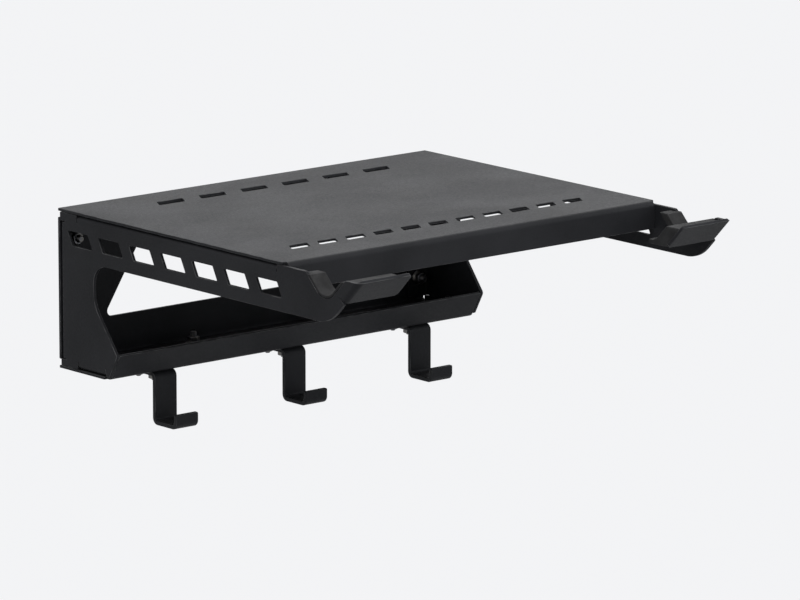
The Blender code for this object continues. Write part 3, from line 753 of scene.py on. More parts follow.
@dataclass(frozen=True)
class CradleRubber(Finish):
    """Matt black moulded rubber with a grey bloom and edges made slightly paler by a painted highlight."""

    name: str = "moulded_cradle_rubber"
    colour: Triple = (0.0075, 0.0075, 0.0080)
    layers: tuple[Layer, ...] = (
        Layer("bloom", (0.040, 0.040, 0.041), Noise(48, 5, 0.62, span=Span(0.40, 0.74, 0.05, 0.65))),
        # Painted highlight: the rounded edges are made paler to stand in for light catching them.
        Layer("painted edge highlight", (0.040, 0.040, 0.041), 0.4, Where.EDGES),
    )
    roughness: float = 0.80
    uneven: tuple[Noise, ...] = (Noise(210, span=Span(0.25, 0.75, -0.07, 0.07)),)
    specular: float = 0.3
    relief: tuple[tuple[Noise, float], ...] = ((Noise(1400, 3, 0.6), 0.6), (Noise(210), 0.4))
    relief_strength: float = 0.50
    relief_depth: float = 0.00024


@dataclass(frozen=True)
class BlackZinc(Finish):
    """Black-zinc plated steel, a little brighter where a spanner or a thread has rubbed it."""

    name: str = "black_zinc_plating"
    colour: Triple = (0.085, 0.088, 0.098)
    layers: tuple[Layer, ...] = (
        Layer("tint", (0.140, 0.130, 0.112), Noise(240, 3, span=Span(0.35, 0.65, 0.0, 0.8))),
        Layer("rubbed", (0.42, 0.42, 0.43), Noise(520, 3, span=Span(0.38, 0.62, 0.1, 0.8)), Where.EDGES),
    )
    roughness: float = 0.38
    uneven: tuple[Noise, ...] = (Noise(1900, span=Span(0.2, 0.8, -0.08, 0.08)),)
    metallic: float = 0.9
    relief: tuple[tuple[Noise, float], ...] = ((Noise(1900), 1.0),)
    relief_strength: float = 0.16
    relief_depth: float = 0.00008


@dataclass(frozen=True)
class PaleFloor(Finish):
    """Matt pale paint."""

    name: str = "pale_floor"
    colour: Triple = (0.80, 0.80, 0.80)
    layers: tuple[Layer, ...] = (Layer("clouds", (0.83, 0.83, 0.82), Noise(0.6, span=Span(0.3, 0.7))),)
    roughness: float = 0.9
    specular: float = 0.1


@dataclass
class Finishes:
    """The hanger's materials, each made once, and the pieces that wear them."""

    made: dict[Coat, bpy.types.Material] = field(init=False)

    def __post_init__(self) -> None:
        """Make each material."""
        finishes = {Coat.POWDER: PowderCoat(), Coat.RUBBER: CradleRubber(), Coat.ZINC: BlackZinc()}
        self.made = {coat: finish.sketch().material for coat, finish in finishes.items()}

    def dress_solids(self) -> None:
        """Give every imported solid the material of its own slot."""
        for row in frame["record"]["subparts"]:
            node = frame["nodes"][row["node"]]
            node.data.materials.clear()
            node.data.materials.append(self.made[Coat(row["material_slot"])])

    def piece(self, node: str, form: str, mesh: Mesh, coat: Coat) -> None:
        """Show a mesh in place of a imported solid.

        Args:
            node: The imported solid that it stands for.
            form: What the piece is, added to the solid's name.
            mesh: Its mesh, already in place.
            coat: Its finish.
        """
        mesh.name = f"{node}_{form}"
        mesh.materials.clear()
        mesh.materials.append(self.made[coat])
        thing = placed(mesh.name, mesh)
        flat = thing.modifiers.new("flat_faces", "WEIGHTED_NORMAL")
        flat.mode = "FACE_AREA"
        flat.weight = FLAT_FACE_WEIGHT
        flat.keep_sharp = True
        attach(thing, ROOT_BODY)
        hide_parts(node)
        log.info("%s: %d faces, in place of %s", thing.name, len(mesh.polygons), node)

    def pair(self, part: str, form: str, left: Mesh, coat: Coat) -> None:
        """Show a left-hand mesh and its mirror image in place of a part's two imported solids."""
        for side, mesh in ((Side.LEFT, left), (Side.RIGHT, mirrored(left))):
            self.piece(f"{side.value}_{part}", form, mesh, coat)


def placed(name: str, data: bpy.types.ID) -> bpy.types.Object:
    """Put a new object with this data into the scene.

    Args:
        name: Name of the object.
        data: Its mesh, lamp or camera.

    Returns:
        The object.
    """
    thing = bpy.data.objects.new(name, data)
    bpy.context.scene.collection.objects.link(thing)
    return thing


def finished_mesh(work: BMesh) -> Mesh:
    """Turn a bmesh into smooth-shaded mesh data whose faces look outwards.

    Args:
        work: The bmesh, freed here.

    Returns:
        The mesh.
    """
    bmesh.ops.remove_doubles(work, verts=work.verts, dist=WELD)
    bmesh.ops.recalc_face_normals(work, faces=work.faces)
    if work.calc_volume(signed=True) < 0:
        bmesh.ops.reverse_faces(work, faces=work.faces)
    for face in work.faces:
        face.smooth = True
    mesh = bpy.data.meshes.new("shape")
    work.to_mesh(mesh)
    work.free()
    return mesh


def mirrored(mesh: Mesh) -> Mesh:
    """The mirror image of a mesh across the middle of the hanger.

    Args:
        mesh: The mesh to mirror.

    Returns:
        A new mesh whose faces still point outwards.
    """
    work = bmesh.new()
    work.from_mesh(mesh)
    bmesh.ops.scale(work, vec=(-1, 1, 1), verts=work.verts)
    return finished_mesh(work)


# Sub-assemblies


@dataclass(frozen=True)
class SlotRow:
    """A row of slots with level edges and ends that lean."""

    length: float
    pitch: float
    lean: float = 0.0055
    height: float = 0.0105
    corner: float = 0.0010

    @property
    def whole(self) -> float:
        """Length of a slot over its leaning ends."""
        return self.length + self.lean

    def corners(self, a: float, b: float) -> list[Corner]:
        """Outline of one slot.

        Args:
            a: First coordinate of its centre.
            b: Second coordinate of its centre.

        Returns:
            Its corners.
        """
        half, lean, rise = self.length / 2, self.lean / 2, self.height / 2
        ends = ((-half + lean, -rise), (half + lean, -rise), (half - lean, rise), (-half - lean, rise))
        return [Corner(a + across, b + up, self.corner) for across, up in ends]


@dataclass
class SidePanel:
    """Side panel: a bar on the wall, a foot under the tray's end, an arm and a folded nose."""

    finishes: Finishes
    bar_depth: float = 0.041
    foot_slope: float = math.radians(52)
    foot_fillet: float = 0.025
    arm_height: float = 0.035
    arm_fillet: float = 0.014
    tube_radius: float = 0.0127
    tube_depth: float = 0.300
    tube_drop: float = 0.0150
    nose_heel_radius: float = 0.030
    nose_band: float = 0.0110
    seat_fillet: float = 0.011
    pad_liner: float = 0.0020
    tab_width: float = 0.047
    tab_rise: float = 0.016
    slots: SlotRow = SlotRow(length=0.0235, pitch=0.0355)
    slot_margin: float = 0.0110
    slot_drop: float = 0.0200
    notch_corner: float = 0.0007
    notch_floor_corner: float = 0.0002
    notch_width: float = 0.0006

    @property
    def arm_foot(self) -> float:
        """Height of the arm's underside."""
        return HANGER.height - self.arm_height

    @property
    def tab_foot(self) -> float:
        """Height of the nose tab's lower edge."""
        return self.arm_foot + self.tab_rise

    @property
    def relief_depth(self) -> float:
        """Depth of the notches beside each bend."""
        return HANGER.bend_radius + HANGER.relief_width

    def seat_tip(self, offset: float) -> Vector:
        """Tip of the V seat's flanks in the panel's plane, for a surface this far under the tube's skin."""
        tube_height = HANGER.height - self.tube_drop + self.tube_radius
        return Vector((self.tube_depth, tube_height - (self.tube_radius + offset) * math.sqrt(2), 0))

    def nose_depth(self, height: float, inset: float = 0.0) -> float:
        """Depth at a height of the nose's slanted front edge, or of a line this far inside it."""
        tip = self.seat_tip(self.pad_liner + HANGER.gap)
        return tip.x + (height - tip.y) + (self.nose_band - inset) * math.sqrt(2)

    def folds(self) -> dict[str, Fold]:
        """The panel's flanges and its nose tab.

        Returns:
            The folds by name, each with its ends counterclockwise.
        """
        size = HANGER
        flange_start = size.panel_back + size.flange_width
        ends = {
            "foot": ((flange_start, size.panel_back),
                     (size.tray_depth - size.corner_radius, size.panel_back), size.flange_width),
            "tab": ((self.nose_depth(self.tab_foot), self.tab_foot),
                    (self.nose_depth(size.panel_top), size.panel_top), self.tab_width),
            "top": ((size.shelf_depth - 2 * self.relief_depth, size.panel_top),
                    (flange_start, size.panel_top), size.flange_width),
            "back": ((size.panel_back, size.panel_top - self.relief_depth - size.relief_width),
                     (size.panel_back, size.panel_back + self.relief_depth), size.flange_width),
        }
        return {
            name: Fold(Vector((*start, 0)), Vector((*end, 0)), reach)
            for name, (start, end, reach) in ends.items()
        }

    def _flange(self, fold: Fold, notched_end: bool = True) -> list[Corner]:
        """Corners of a flange with the notches beside it, while the sheet is flat.

        Args:
            fold: The flange.
            notched_end: Whether its far end has a notch too.

        Returns:
            The corners from the mouth of the first notch on.
        """
        deep = -fold.outward * self.relief_depth
        wide = fold.along * self.notch_width
        far = fold.outward * fold.flat_reach(fold.reach)
        floor = self.notch_floor_corner
        path = [
            (fold.start - wide, self.notch_corner),
            (fold.start - wide + deep, floor),
            (fold.start + deep, floor),
            (fold.start + far, HANGER.corner_radius),
            (fold.end + far, HANGER.corner_radius),
        ]
        if notched_end:
            path += [(fold.end + deep, floor), (fold.end + wide + deep, floor),
                     (fold.end + wide, self.notch_corner)]
        return [Corner(point.x, point.y, radius) for point, radius in path]

    def _level_end(self, fold: Fold) -> list[Corner]:
        """Corners that keep the end of the nose bend level with the panel's top edge.

        Args:
            fold: The nose tab's fold.

        Returns:
            The corners from the tab back to the panel.
        """
        corners = []
        strips = fold.profile.bend_strips
        for step in range(strips, -1, -1):
            angle = math.pi / 2 * step / strips
            back = fold.radius * (1 - math.sin(angle))
            point = fold.end - fold.along * back + fold.outward * fold.radius * (angle - 1)
            corners.append(Corner(point.x, point.y))
        return corners

    def _outline(self, folds: dict[str, Fold]) -> list[Corner]:
        """The whole flat outline.

        Args:
            folds: The panel's folds.

        Returns:
            Its corners, counterclockwise from the foot's rear corner.
        """
        size = HANGER
        tip = self.seat_tip(self.pad_liner + size.gap)
        rise = size.panel_top - tip.y
        foot_front = size.tray_lip_depth(size.tray_lip_rise)
        foot_top = size.tray_lip_rise + (foot_front - self.bar_depth) * math.tan(self.foot_slope)
        return [
            Corner(size.panel_back, size.panel_back, self.notch_corner),
            *self._flange(folds["foot"]),
            Corner(size.tray_lip_depth(size.panel_back), size.panel_back, self.notch_corner),
            Corner(foot_front, size.tray_lip_rise, size.corner_radius),
            Corner(self.bar_depth, foot_top, self.foot_fillet),
            Corner(self.bar_depth, self.arm_foot, self.arm_fillet),
            Corner(self.nose_depth(self.arm_foot), self.arm_foot, self.nose_heel_radius),
            *self._flange(folds["tab"], notched_end=False),
            *self._level_end(folds["tab"]),
            Corner(tip.x + rise, size.panel_top, size.corner_radius),
            Corner(tip.x, tip.y, self.seat_fillet + self.pad_liner + size.gap),
            Corner(tip.x - rise, size.panel_top, size.corner_radius),
            *self._flange(folds["top"]),
            Corner(size.panel_back, size.panel_top, self.notch_corner),
            *self._flange(folds["back"]),
        ]

    def _draw_holes(self, drawing: Drawing, folds: dict[str, Fold]) -> None:
        """Draw the arm's slots and the flanges' stud holes.

        Args:
            drawing: The panel's drawing.
            folds: The panel's folds.
        """
        size = HANGER
        whole = self.slots.whole
        count = round((size.shelf_depth - 2 * self.slot_margin - whole) / self.slots.pitch) + 1
        for number in range(count):
            depth = self.slot_margin + whole / 2 + number * self.slots.pitch
            drawing.outline(self.slots.corners(depth, size.height - self.slot_drop))
        for name, sheet in (("top", "shelf"), ("foot", "tray"), ("back", "back")):
            fold = folds[name]
            start = fold.start.y if sheet == "back" else fold.start.x
            for stud, (_, place) in size.studs()[sheet].items():
                if stud.startswith(Side.LEFT.value):
                    along = fold.along * abs(place - start)
                    point = fold.start + along + fold.outward * fold.flat_reach(size.stud_inset)
                    drawing.circle(point.x, point.y, size.stud_hole)

    def mesh(self) -> Mesh:
        """The left panel, folded and in place.

        Returns:
            Its mesh.
        """
        folds = self.folds()
        drawing = Drawing()
        drawing.outline(self._outline(folds))
        self._draw_holes(drawing, folds)
        work = drawing.sheet(HANGER.side_sheet)
        soften(work, HANGER.edge_radius)
        for fold in folds.values():
            fold.score(work)
        for vert in work.verts:
            flat = vert.co.copy()
            places = (fold.place(flat) for fold in folds.values())
            point = next((place for place in places if place is not None), flat)
            vert.co = HANGER.at(-HANGER.side - point.z, point.x, point.y)
        return finished_mesh(work)

    def build(self) -> None:
        """Show both panels."""
        self.finishes.pair("side_panel", "sheet", self.mesh(), Coat.POWDER)


@dataclass
class ShelfPlate:
    """Shelf: a level sheet with two rows of slots and a front lip folded down."""

    finishes: Finishes
    lip: float = 0.020
    front_slots: SlotRow = SlotRow(length=0.0165, pitch=0.0254)
    front_margin: float = 0.033
    front_depth: float = 0.217
    back_slots: SlotRow = SlotRow(length=0.0235, pitch=0.0385)
    back_margin: float = 0.059
    back_depth: float = 0.034

    def _draw_row(self, drawing: Drawing, slots: SlotRow, depth: float, margin: float) -> None:
        """Draw a row of slots centred on the shelf's middle.

        Args:
            drawing: The drawing.
            slots: The slots.
            depth: Their depth out of the wall.
            margin: Least distance from the shelf's ends.
        """
        count = int((HANGER.width - 2 * margin - slots.whole) / slots.pitch) + 1
        for number in range(count):
            drawing.outline(slots.corners((number - (count - 1) / 2) * slots.pitch, depth))

    def build(self) -> None:
        """Show the shelf."""
        size = HANGER
        profile = Profile([
            (0.0, size.height, 0),
            (size.shelf_depth, size.height, size.bend_radius),
            (size.shelf_depth, size.height - self.lip, 0),
        ])
        notch = profile.at_depth(0, size.shelf_depth - size.bend_clearance)
        drawing = Drawing()
        drawing.symmetric([
            Corner(size.side, 0.0, size.small_corner),
            Corner(size.side, notch, size.small_corner),
            Corner(size.inner_side, notch),
            Corner(size.inner_side, profile.length, size.small_corner),
        ])
        self._draw_row(drawing, self.front_slots, self.front_depth, self.front_margin)
        self._draw_row(drawing, self.back_slots, self.back_depth, self.back_margin)
        mesh = profile.folded(drawing, size.plate_sheet, size.edge_radius)
        self.finishes.piece("shelf_plate", "sheet", mesh, Coat.POWDER)


@dataclass
class LowerTray:
    """Lower tray: a level floor along the wall with a lip that leans out along its front."""

    finishes: Finishes
    hook_screws: list[Spot]
    screw_hole: float = 0.0023

    def build(self) -> None:
        """Show the tray."""
        size = HANGER
        profile = Profile([
            (size.tray_lip_depth(size.tray_lip_rise), size.tray_lip_rise, 0),
            (size.tray_depth, 0.0, size.bend_radius),
            (0.0, 0.0, 0),
        ])
        notch = profile.at_depth(1, size.tray_depth - size.bend_clearance)
        drawing = Drawing()
        drawing.symmetric([
            Corner(size.inner_side, 0.0, size.small_corner),
            Corner(size.inner_side, notch),
            Corner(size.side, notch, size.small_corner),
            Corner(size.side, profile.length, size.small_corner),
        ])
        for x, depth in self.hook_screws:
            drawing.circle(x, profile.at_depth(1, depth), self.screw_hole)
        mesh = profile.folded(drawing, size.plate_sheet, size.edge_radius)
        self.finishes.piece("lower_tray", "sheet", mesh, Coat.POWDER)


@dataclass
class BackPlate:
    """Back plate: a web on the wall with a window, and a flange forward along its top and foot."""

    finishes: Finishes
    window_side: float = 0.0394
    window_lean: float = math.radians(57.5)
    window_foot: float = 0.032
    window_fillet: float = 0.004
    wall_hole: float = 0.0035
    wall_hole_side: float = 0.0525
    wall_holes: int = 4

    def _draw_holes(self, drawing: Drawing, profile: Profile) -> None:
        """Draw the window, the wall screws' holes and the flanges' stud holes.

        Args:
            drawing: The plate's drawing.
            profile: The plate's side view.
        """
        size = HANGER
        low_side = size.side - self.window_side
        high_side = low_side - (size.window_top - self.window_foot) / math.tan(self.window_lean)
        drawing.symmetric([
            Corner(low_side, profile.at_height(1, self.window_foot), self.window_fillet),
            Corner(high_side, profile.at_height(1, size.window_top), self.window_fillet),
        ])
        outermost = size.side - self.wall_hole_side
        pitch = 2 * outermost / (self.wall_holes - 1)
        for number in range(self.wall_holes):
            height = profile.at_height(1, size.mount_height)
            drawing.circle(number * pitch - outermost, height, self.wall_hole)
        for name in ("back_left", "back_right"):
            for straight, sheet in ((2, "shelf"), (0, "tray")):
                x, depth = size.studs()[sheet][name]
                drawing.circle(x, profile.at_depth(straight, depth), size.stud_hole)

    def build(self) -> None:
        """Show the back plate."""
        size = HANGER
        front = size.panel_back + size.flange_width - 2 * size.relief_width
        profile = Profile([
            (front, size.panel_back, 0),
            (0.0, size.panel_back, size.bend_radius),
            (0.0, size.panel_top, size.bend_radius),
            (front, size.panel_top, 0),
        ])
        low = profile.at_height(1, size.panel_back + size.bend_clearance)
        high = profile.at_height(1, size.panel_top - size.bend_clearance)
        drawing = Drawing()
        drawing.symmetric([
            Corner(size.inner_side, 0.0, size.corner_radius),
            Corner(size.inner_side, low),
            Corner(size.side, low, size.small_corner),
            Corner(size.side, high, size.small_corner),
            Corner(size.inner_side, high),
            Corner(size.inner_side, profile.length, size.corner_radius),
        ])
        self._draw_holes(drawing, profile)
        mesh = profile.folded(drawing, size.plate_sheet, size.edge_radius)
        self.finishes.piece("back_plate", "sheet", mesh, Coat.POWDER)


@dataclass
class Hooks:
    """Three flat strips bent to a J, screwed under the tray."""

    finishes: Finishes
    width: float = 0.020
    sheet: float = 0.0030
    drop: float = 0.0385
    throat: float = 0.0215
    lip: float = 0.0110
    flange: float = 0.042
    bend: float = 0.0050
    bend_strips: int = 10
    corner: float = 0.0012
    edge_radius: float = 0.00045
    screw_front: float = 0.014
    screw_spacing: float = 0.018
    screw_hole: float = 0.0023

    def centres(self) -> dict[str, float]:
        """The x of each hook by its name."""
        return {"left": -HANGER.hook_pitch, "middle": 0.0, "right": HANGER.hook_pitch}

    def screw_depths(self) -> dict[str, float]:
        """The depth of each of a hook's screws by its name."""
        front = HANGER.tray_depth - self.screw_front
        return {"front": front, "rear": front - self.screw_spacing}

    def screw_places(self) -> dict[str, Spot]:
        """The (x, depth) of all hook screws by name."""
        ends = self.screw_depths().items()
        return {f"{hook}_{end}": (x, depth) for hook, x in self.centres().items() for end, depth in ends}

    def mesh(self, x: float) -> Mesh:
        """One hook, bent and in place.

        Args:
            x: Middle of the hook.

        Returns:
            Its mesh.
        """
        front = HANGER.tray_depth
        floor = self.sheet - self.drop
        inner = self.bend - self.sheet
        profile = Profile([
            (front - self.flange, -HANGER.gap, 0),
            (front, -HANGER.gap, self.bend),
            (front, floor, inner),
            (front + self.throat, floor, inner),
            (front + self.throat, self.lip - self.drop, 0),
        ], self.bend_strips)
        half = self.width / 2
        ends = ((-half, 0.0), (half, 0.0), (half, profile.length), (-half, profile.length))
        drawing = Drawing()
        drawing.outline([Corner(x + across, along, self.corner) for across, along in ends])
        for depth in self.screw_depths().values():
            drawing.circle(x, profile.at_depth(0, depth), self.screw_hole)
        return profile.folded(drawing, self.sheet, self.edge_radius)

    def build(self) -> None:
        """Show the three hooks."""
        for name, x in self.centres().items():
            self.finishes.piece(f"{name}_hook", "strip", self.mesh(x), Coat.POWDER)


def prism(corners: list[Corner], low: float, high: float) -> BMesh:
    """A side view drawn out along X, with its depth and height in place.

    Args:
        corners: The side view's corners as depth and height.
        low: Where it starts along X.
        high: Where it ends along X.

    Returns:
        The closed solid.
    """
    drawing = Drawing()
    drawing.outline(corners)
    work = drawing.sheet(high - low)
    for vert in work.verts:
        vert.co = HANGER.at(high + vert.co.z, vert.co.x, vert.co.y)
    return work


def carved(block: BMesh, cutters: list[BMesh], operation: str = "DIFFERENCE",
           weld: float = CARVE_WELD) -> BMesh:
    """A solid after other solids are cut from it, joined to it or kept in common with it.

    Args:
        block: The solid, freed here.
        cutters: The other solids, freed here.
        operation: Blender's name of the operation.
        weld: Distance within which two points become one.

    Returns:
        The new solid.
    """
    thing = placed("block", finished_mesh(block))
    helpers = [placed("cutter", finished_mesh(cutter)) for cutter in cutters]
    for helper in helpers:
        boolean = thing.modifiers.new("carve", "BOOLEAN")
        boolean.operation = operation
        boolean.solver = "EXACT"
        boolean.object = helper
    bpy.context.view_layer.update()
    depsgraph = bpy.context.evaluated_depsgraph_get()
    work = bmesh.new()
    work.from_mesh(bpy.data.meshes.new_from_object(thing.evaluated_get(depsgraph), depsgraph=depsgraph))
    for item in [thing, *helpers]:
        bpy.data.objects.remove(item, do_unlink=True)
    bmesh.ops.remove_doubles(work, verts=work.verts, dist=weld)
    bmesh.ops.dissolve_limit(work, angle_limit=FLAT_ANGLE, verts=work.verts, edges=work.edges)
    return work


@dataclass
class CradlePads:
    """Rubber V blocks in the arms' noses, whose skin laps over the panels' edges."""

    finishes: Finishes
    panel: SidePanel
    width: float = 0.045
    leg: float = 0.0060
    leg_width: float = 0.014
    rear: float = 0.0020
    top_drop: float = 0.0015
    edge_radius: float = 0.0007
    edge_strips: int = 3
    least_angle: float = math.radians(25)
    weld: float = 0.00005

    def _block(self) -> BMesh:
        """The whole block before anything is cut from it.

        Returns:
            The closed solid.
        """
        tip = self.panel.seat_tip(0.0)
        foot, top = self.panel.tab_foot, HANGER.panel_top - self.top_drop
        inset = HANGER.side_sheet + HANGER.gap
        leg = self.leg * math.sqrt(2)
        corners = [
            Corner(tip.x, tip.y, self.panel.seat_fillet),
            Corner(tip.x + top - tip.y, top),
            Corner(self.panel.nose_depth(top, inset), top),
            Corner(self.panel.nose_depth(foot, inset), foot),
            Corner(tip.x - (foot - tip.y) - leg, foot),
            Corner(tip.x - (top - tip.y) - leg, top),
            Corner(tip.x - (top - tip.y), top),
        ]
        return prism(corners, -HANGER.side, -HANGER.side + self.width)

    def _rooms(self) -> list[BMesh]:
        """What is cut from the block: for the panel's V edge, for the tab's bend and behind its wide part.

        Returns:
            The rooms as closed solids.
        """
        size, panel = HANGER, self.panel
        tip = panel.seat_tip(panel.pad_liner)
        reach = panel.arm_height
        around = ((reach, reach), (2 * reach, 0), (0, -2 * reach), (-2 * reach, 0), (-reach, reach))
        edge = [Corner(tip.x, tip.y, panel.seat_fillet + panel.pad_liner)]
        edge += [Corner(tip.x + out, tip.y + up) for out, up in around]
        low, high, inner = panel.arm_foot, size.height + reach, size.bend_clearance
        ends = ((low, 0.0), (high, 0.0), (high, inner), (low, inner))
        bend = [Corner(panel.nose_depth(height, inset), height) for height, inset in ends]
        rear, below, above = panel.tube_depth - self.rear, -size.height, 2 * size.height
        behind = [Corner(0.0, below), Corner(rear, below), Corner(rear, above), Corner(0.0, above)]
        return [
            prism(edge, -size.width, -size.inner_side),
            prism(bend, -size.width, -size.side + inner),
            prism(behind, -size.side + self.leg_width, 0.0),
        ]

    def build(self) -> None:
        """Show both pads."""
        work = carved(self._block(), self._rooms(), weld=self.weld)
        soften(work, self.edge_radius, self.edge_strips, self.least_angle)
        self.finishes.pair("cradle_pad", "rubber", finished_mesh(work), Coat.RUBBER)


def spun(points: list[Spot], steps: int = TURNED_STEPS, climb: float = 0.0) -> BMesh:
    """Spin a chain of points once round Z.

    Args:
        points: The chain as (radius, height).
        steps: How many faces go round.
        climb: How far it climbs on the way, as a thread does.

    Returns:
        The surface, closed where the chain starts and ends on the axis.
    """
    work = bmesh.new()
    chain = [work.verts.new((radius, 0, height)) for radius, height in points]
    edges = [work.edges.new(pair) for pair in zip(chain, chain[1:])]
    bmesh.ops.spin(work, geom=chain + edges, cent=(0, 0, 0), axis=(0, 0, 1), dvec=(0, 0, climb / steps),
                   angle=2 * math.pi, steps=steps, use_merge=climb == 0)
    bmesh.ops.remove_doubles(work, verts=work.verts, dist=WELD)
    return work


def hexagon(width: float, low: float, high: float) -> BMesh:
    """A hexagonal bar along Z.

    Args:
        width: Its width across flats.
        low: Height of its lower end.
        high: Height of its upper end.

    Returns:
        The closed solid.
    """
    work = bmesh.new()
    bmesh.ops.create_circle(work, cap_ends=True, segments=6, radius=width / math.sqrt(3),
                            matrix=Matrix.Translation((0, 0, low)))
    return drawn_out(work, high - low)


@dataclass(frozen=True)
class Thread:
    """A metric thread, its shape in shares of the pitch."""

    radius: float
    pitch: float
    depth: float = 0.6
    crest_start: float = 0.30
    crest_end: float = 0.45
    groove_start: float = 0.80
    spare_turns: float = 1.5
    steps: int = 24

    def _side_view(self, low: float, high: float) -> list[Spot]:
        """The (radius, height) points of the flank, from below one end to above the other.

        Args:
            low: Height of the lower end.
            high: Height of the upper end.

        Returns:
            The points.
        """
        root = self.radius - self.depth * self.pitch
        turn = ((0.0, root), (self.crest_start, self.radius), (self.crest_end, self.radius),
                (self.groove_start, root))
        turns = math.ceil((high - low) / self.pitch + 2 * self.spare_turns)
        start = low - self.spare_turns * self.pitch
        points = [(radius, start + (number + share) * self.pitch)
                  for number in range(turns) for share, radius in turn]
        return [*points, (root, start + turns * self.pitch)]

    def rod(self, low: float, high: float, chamfers: Spot) -> BMesh:
        """A threaded rod along Z.

        Args:
            low: Height of its lower end.
            high: Height of its upper end.
            chamfers: Sizes of the lower and the upper end's chamfer.

        Returns:
            The closed rod.
        """
        work = spun(self._side_view(low, high), self.steps, self.pitch)
        for height, outward in ((low, -1), (high, 1)):
            cut_across(work, Vector((0, 0, height)), Vector((0, 0, outward)), keep_both=False)
            rim = [edge for edge in work.edges if edge.is_boundary
                   and all(abs(vert.co.z - height) < WELD for vert in edge.verts)]
            bmesh.ops.edgeloop_fill(work, edges=rim)
        for vert in work.verts:
            inside = min(0.0, vert.co.z - low - chamfers[0], high - vert.co.z - chamfers[1])
            radius = math.hypot(vert.co.x, vert.co.y)
            vert.co.xy *= min(1.0, (self.radius + inside) / max(WELD, radius))
        return work


@dataclass(frozen=True)
class FlangeNut:
    """A hexagon nut with a sloping round flange whose face lies at height 0."""

    width: float
    height: float
    flange: float
    flange_sheet: float
    bore: float
    brim: float = 0.0002
    rim_share: float = 0.45
    collar_share: float = 1.35
    chamfer_share: float = 0.44
    chamfer_extra: float = 0.00016
    lead: float = 0.0004
    edge_radius: float = 0.00012

    def mesh(self) -> Mesh:
        """The nut along Z.

        Returns:
            Its mesh.
        """
        top = self.height
        corner = self.width / math.sqrt(3)
        chamfer = self.chamfer_share * (corner - self.width / 2) + self.chamfer_extra
        rim, collar = self.flange_sheet * self.rim_share, self.flange_sheet * self.collar_share
        mouth = self.bore + self.lead
        cone = spun([(0, -top), (corner, -top), (corner, top - chamfer), (corner - 2 * chamfer, top),
                     (0, top)])
        skirt = spun([(0, 0), (self.flange - self.brim, 0), (self.flange, self.brim), (self.flange, rim),
                      (self.width / 2, collar), (0, collar)])
        bore = spun([(0, -top), (self.bore, -top), (self.bore, top - self.lead), (mouth, top),
                     (mouth, 2 * top), (0, 2 * top)])
        body = carved(hexagon(self.width, self.flange_sheet / 2, top), [cone], "INTERSECT")
        whole = carved(carved(skirt, [body], "UNION"), [bore])
        soften(whole, self.edge_radius, least_angle=FINE_ANGLE, clamp=True)
        return finished_mesh(whole)


@dataclass(frozen=True)
class ButtonScrew:
    """A button-head screw with a hexagon socket in its domed head."""

    thread: Thread
    end_chamfer: float = 0.0005
    head_radius: float = 0.0038
    head_height: float = 0.0022
    crown_radius: float = 0.0018
    brim_height: float = 0.0005
    dome_steps: int = 9
    socket_width: float = 0.0025
    socket_depth: float = 0.0013
    edge_radius: float = 0.00010

    def mesh(self, end: float, seat: float) -> Mesh:
        """The screw along Z.

        Args:
            end: Height of its threaded end.
            seat: Height of the face under its head.

        Returns:
            Its mesh.
        """
        brim, top = seat + self.brim_height, seat + self.head_height
        turns = [math.pi / 2 * step / self.dome_steps for step in range(self.dome_steps + 1)]
        dome = [(self.crown_radius + (self.head_radius - self.crown_radius) * math.cos(angle),
                 brim + (top - brim) * math.sin(angle)) for angle in turns]
        socket = hexagon(self.socket_width, top - self.socket_depth, top + self.socket_depth)
        head = carved(spun([(0, seat), (self.head_radius, seat), *dome, (0, top)]), [socket])
        soften(head, self.edge_radius, least_angle=FINE_ANGLE, clamp=True)
        shank = self.thread.rod(end, brim, (self.end_chamfer, 0.0))
        return finished_mesh(carved(head, [shank], "UNION"))


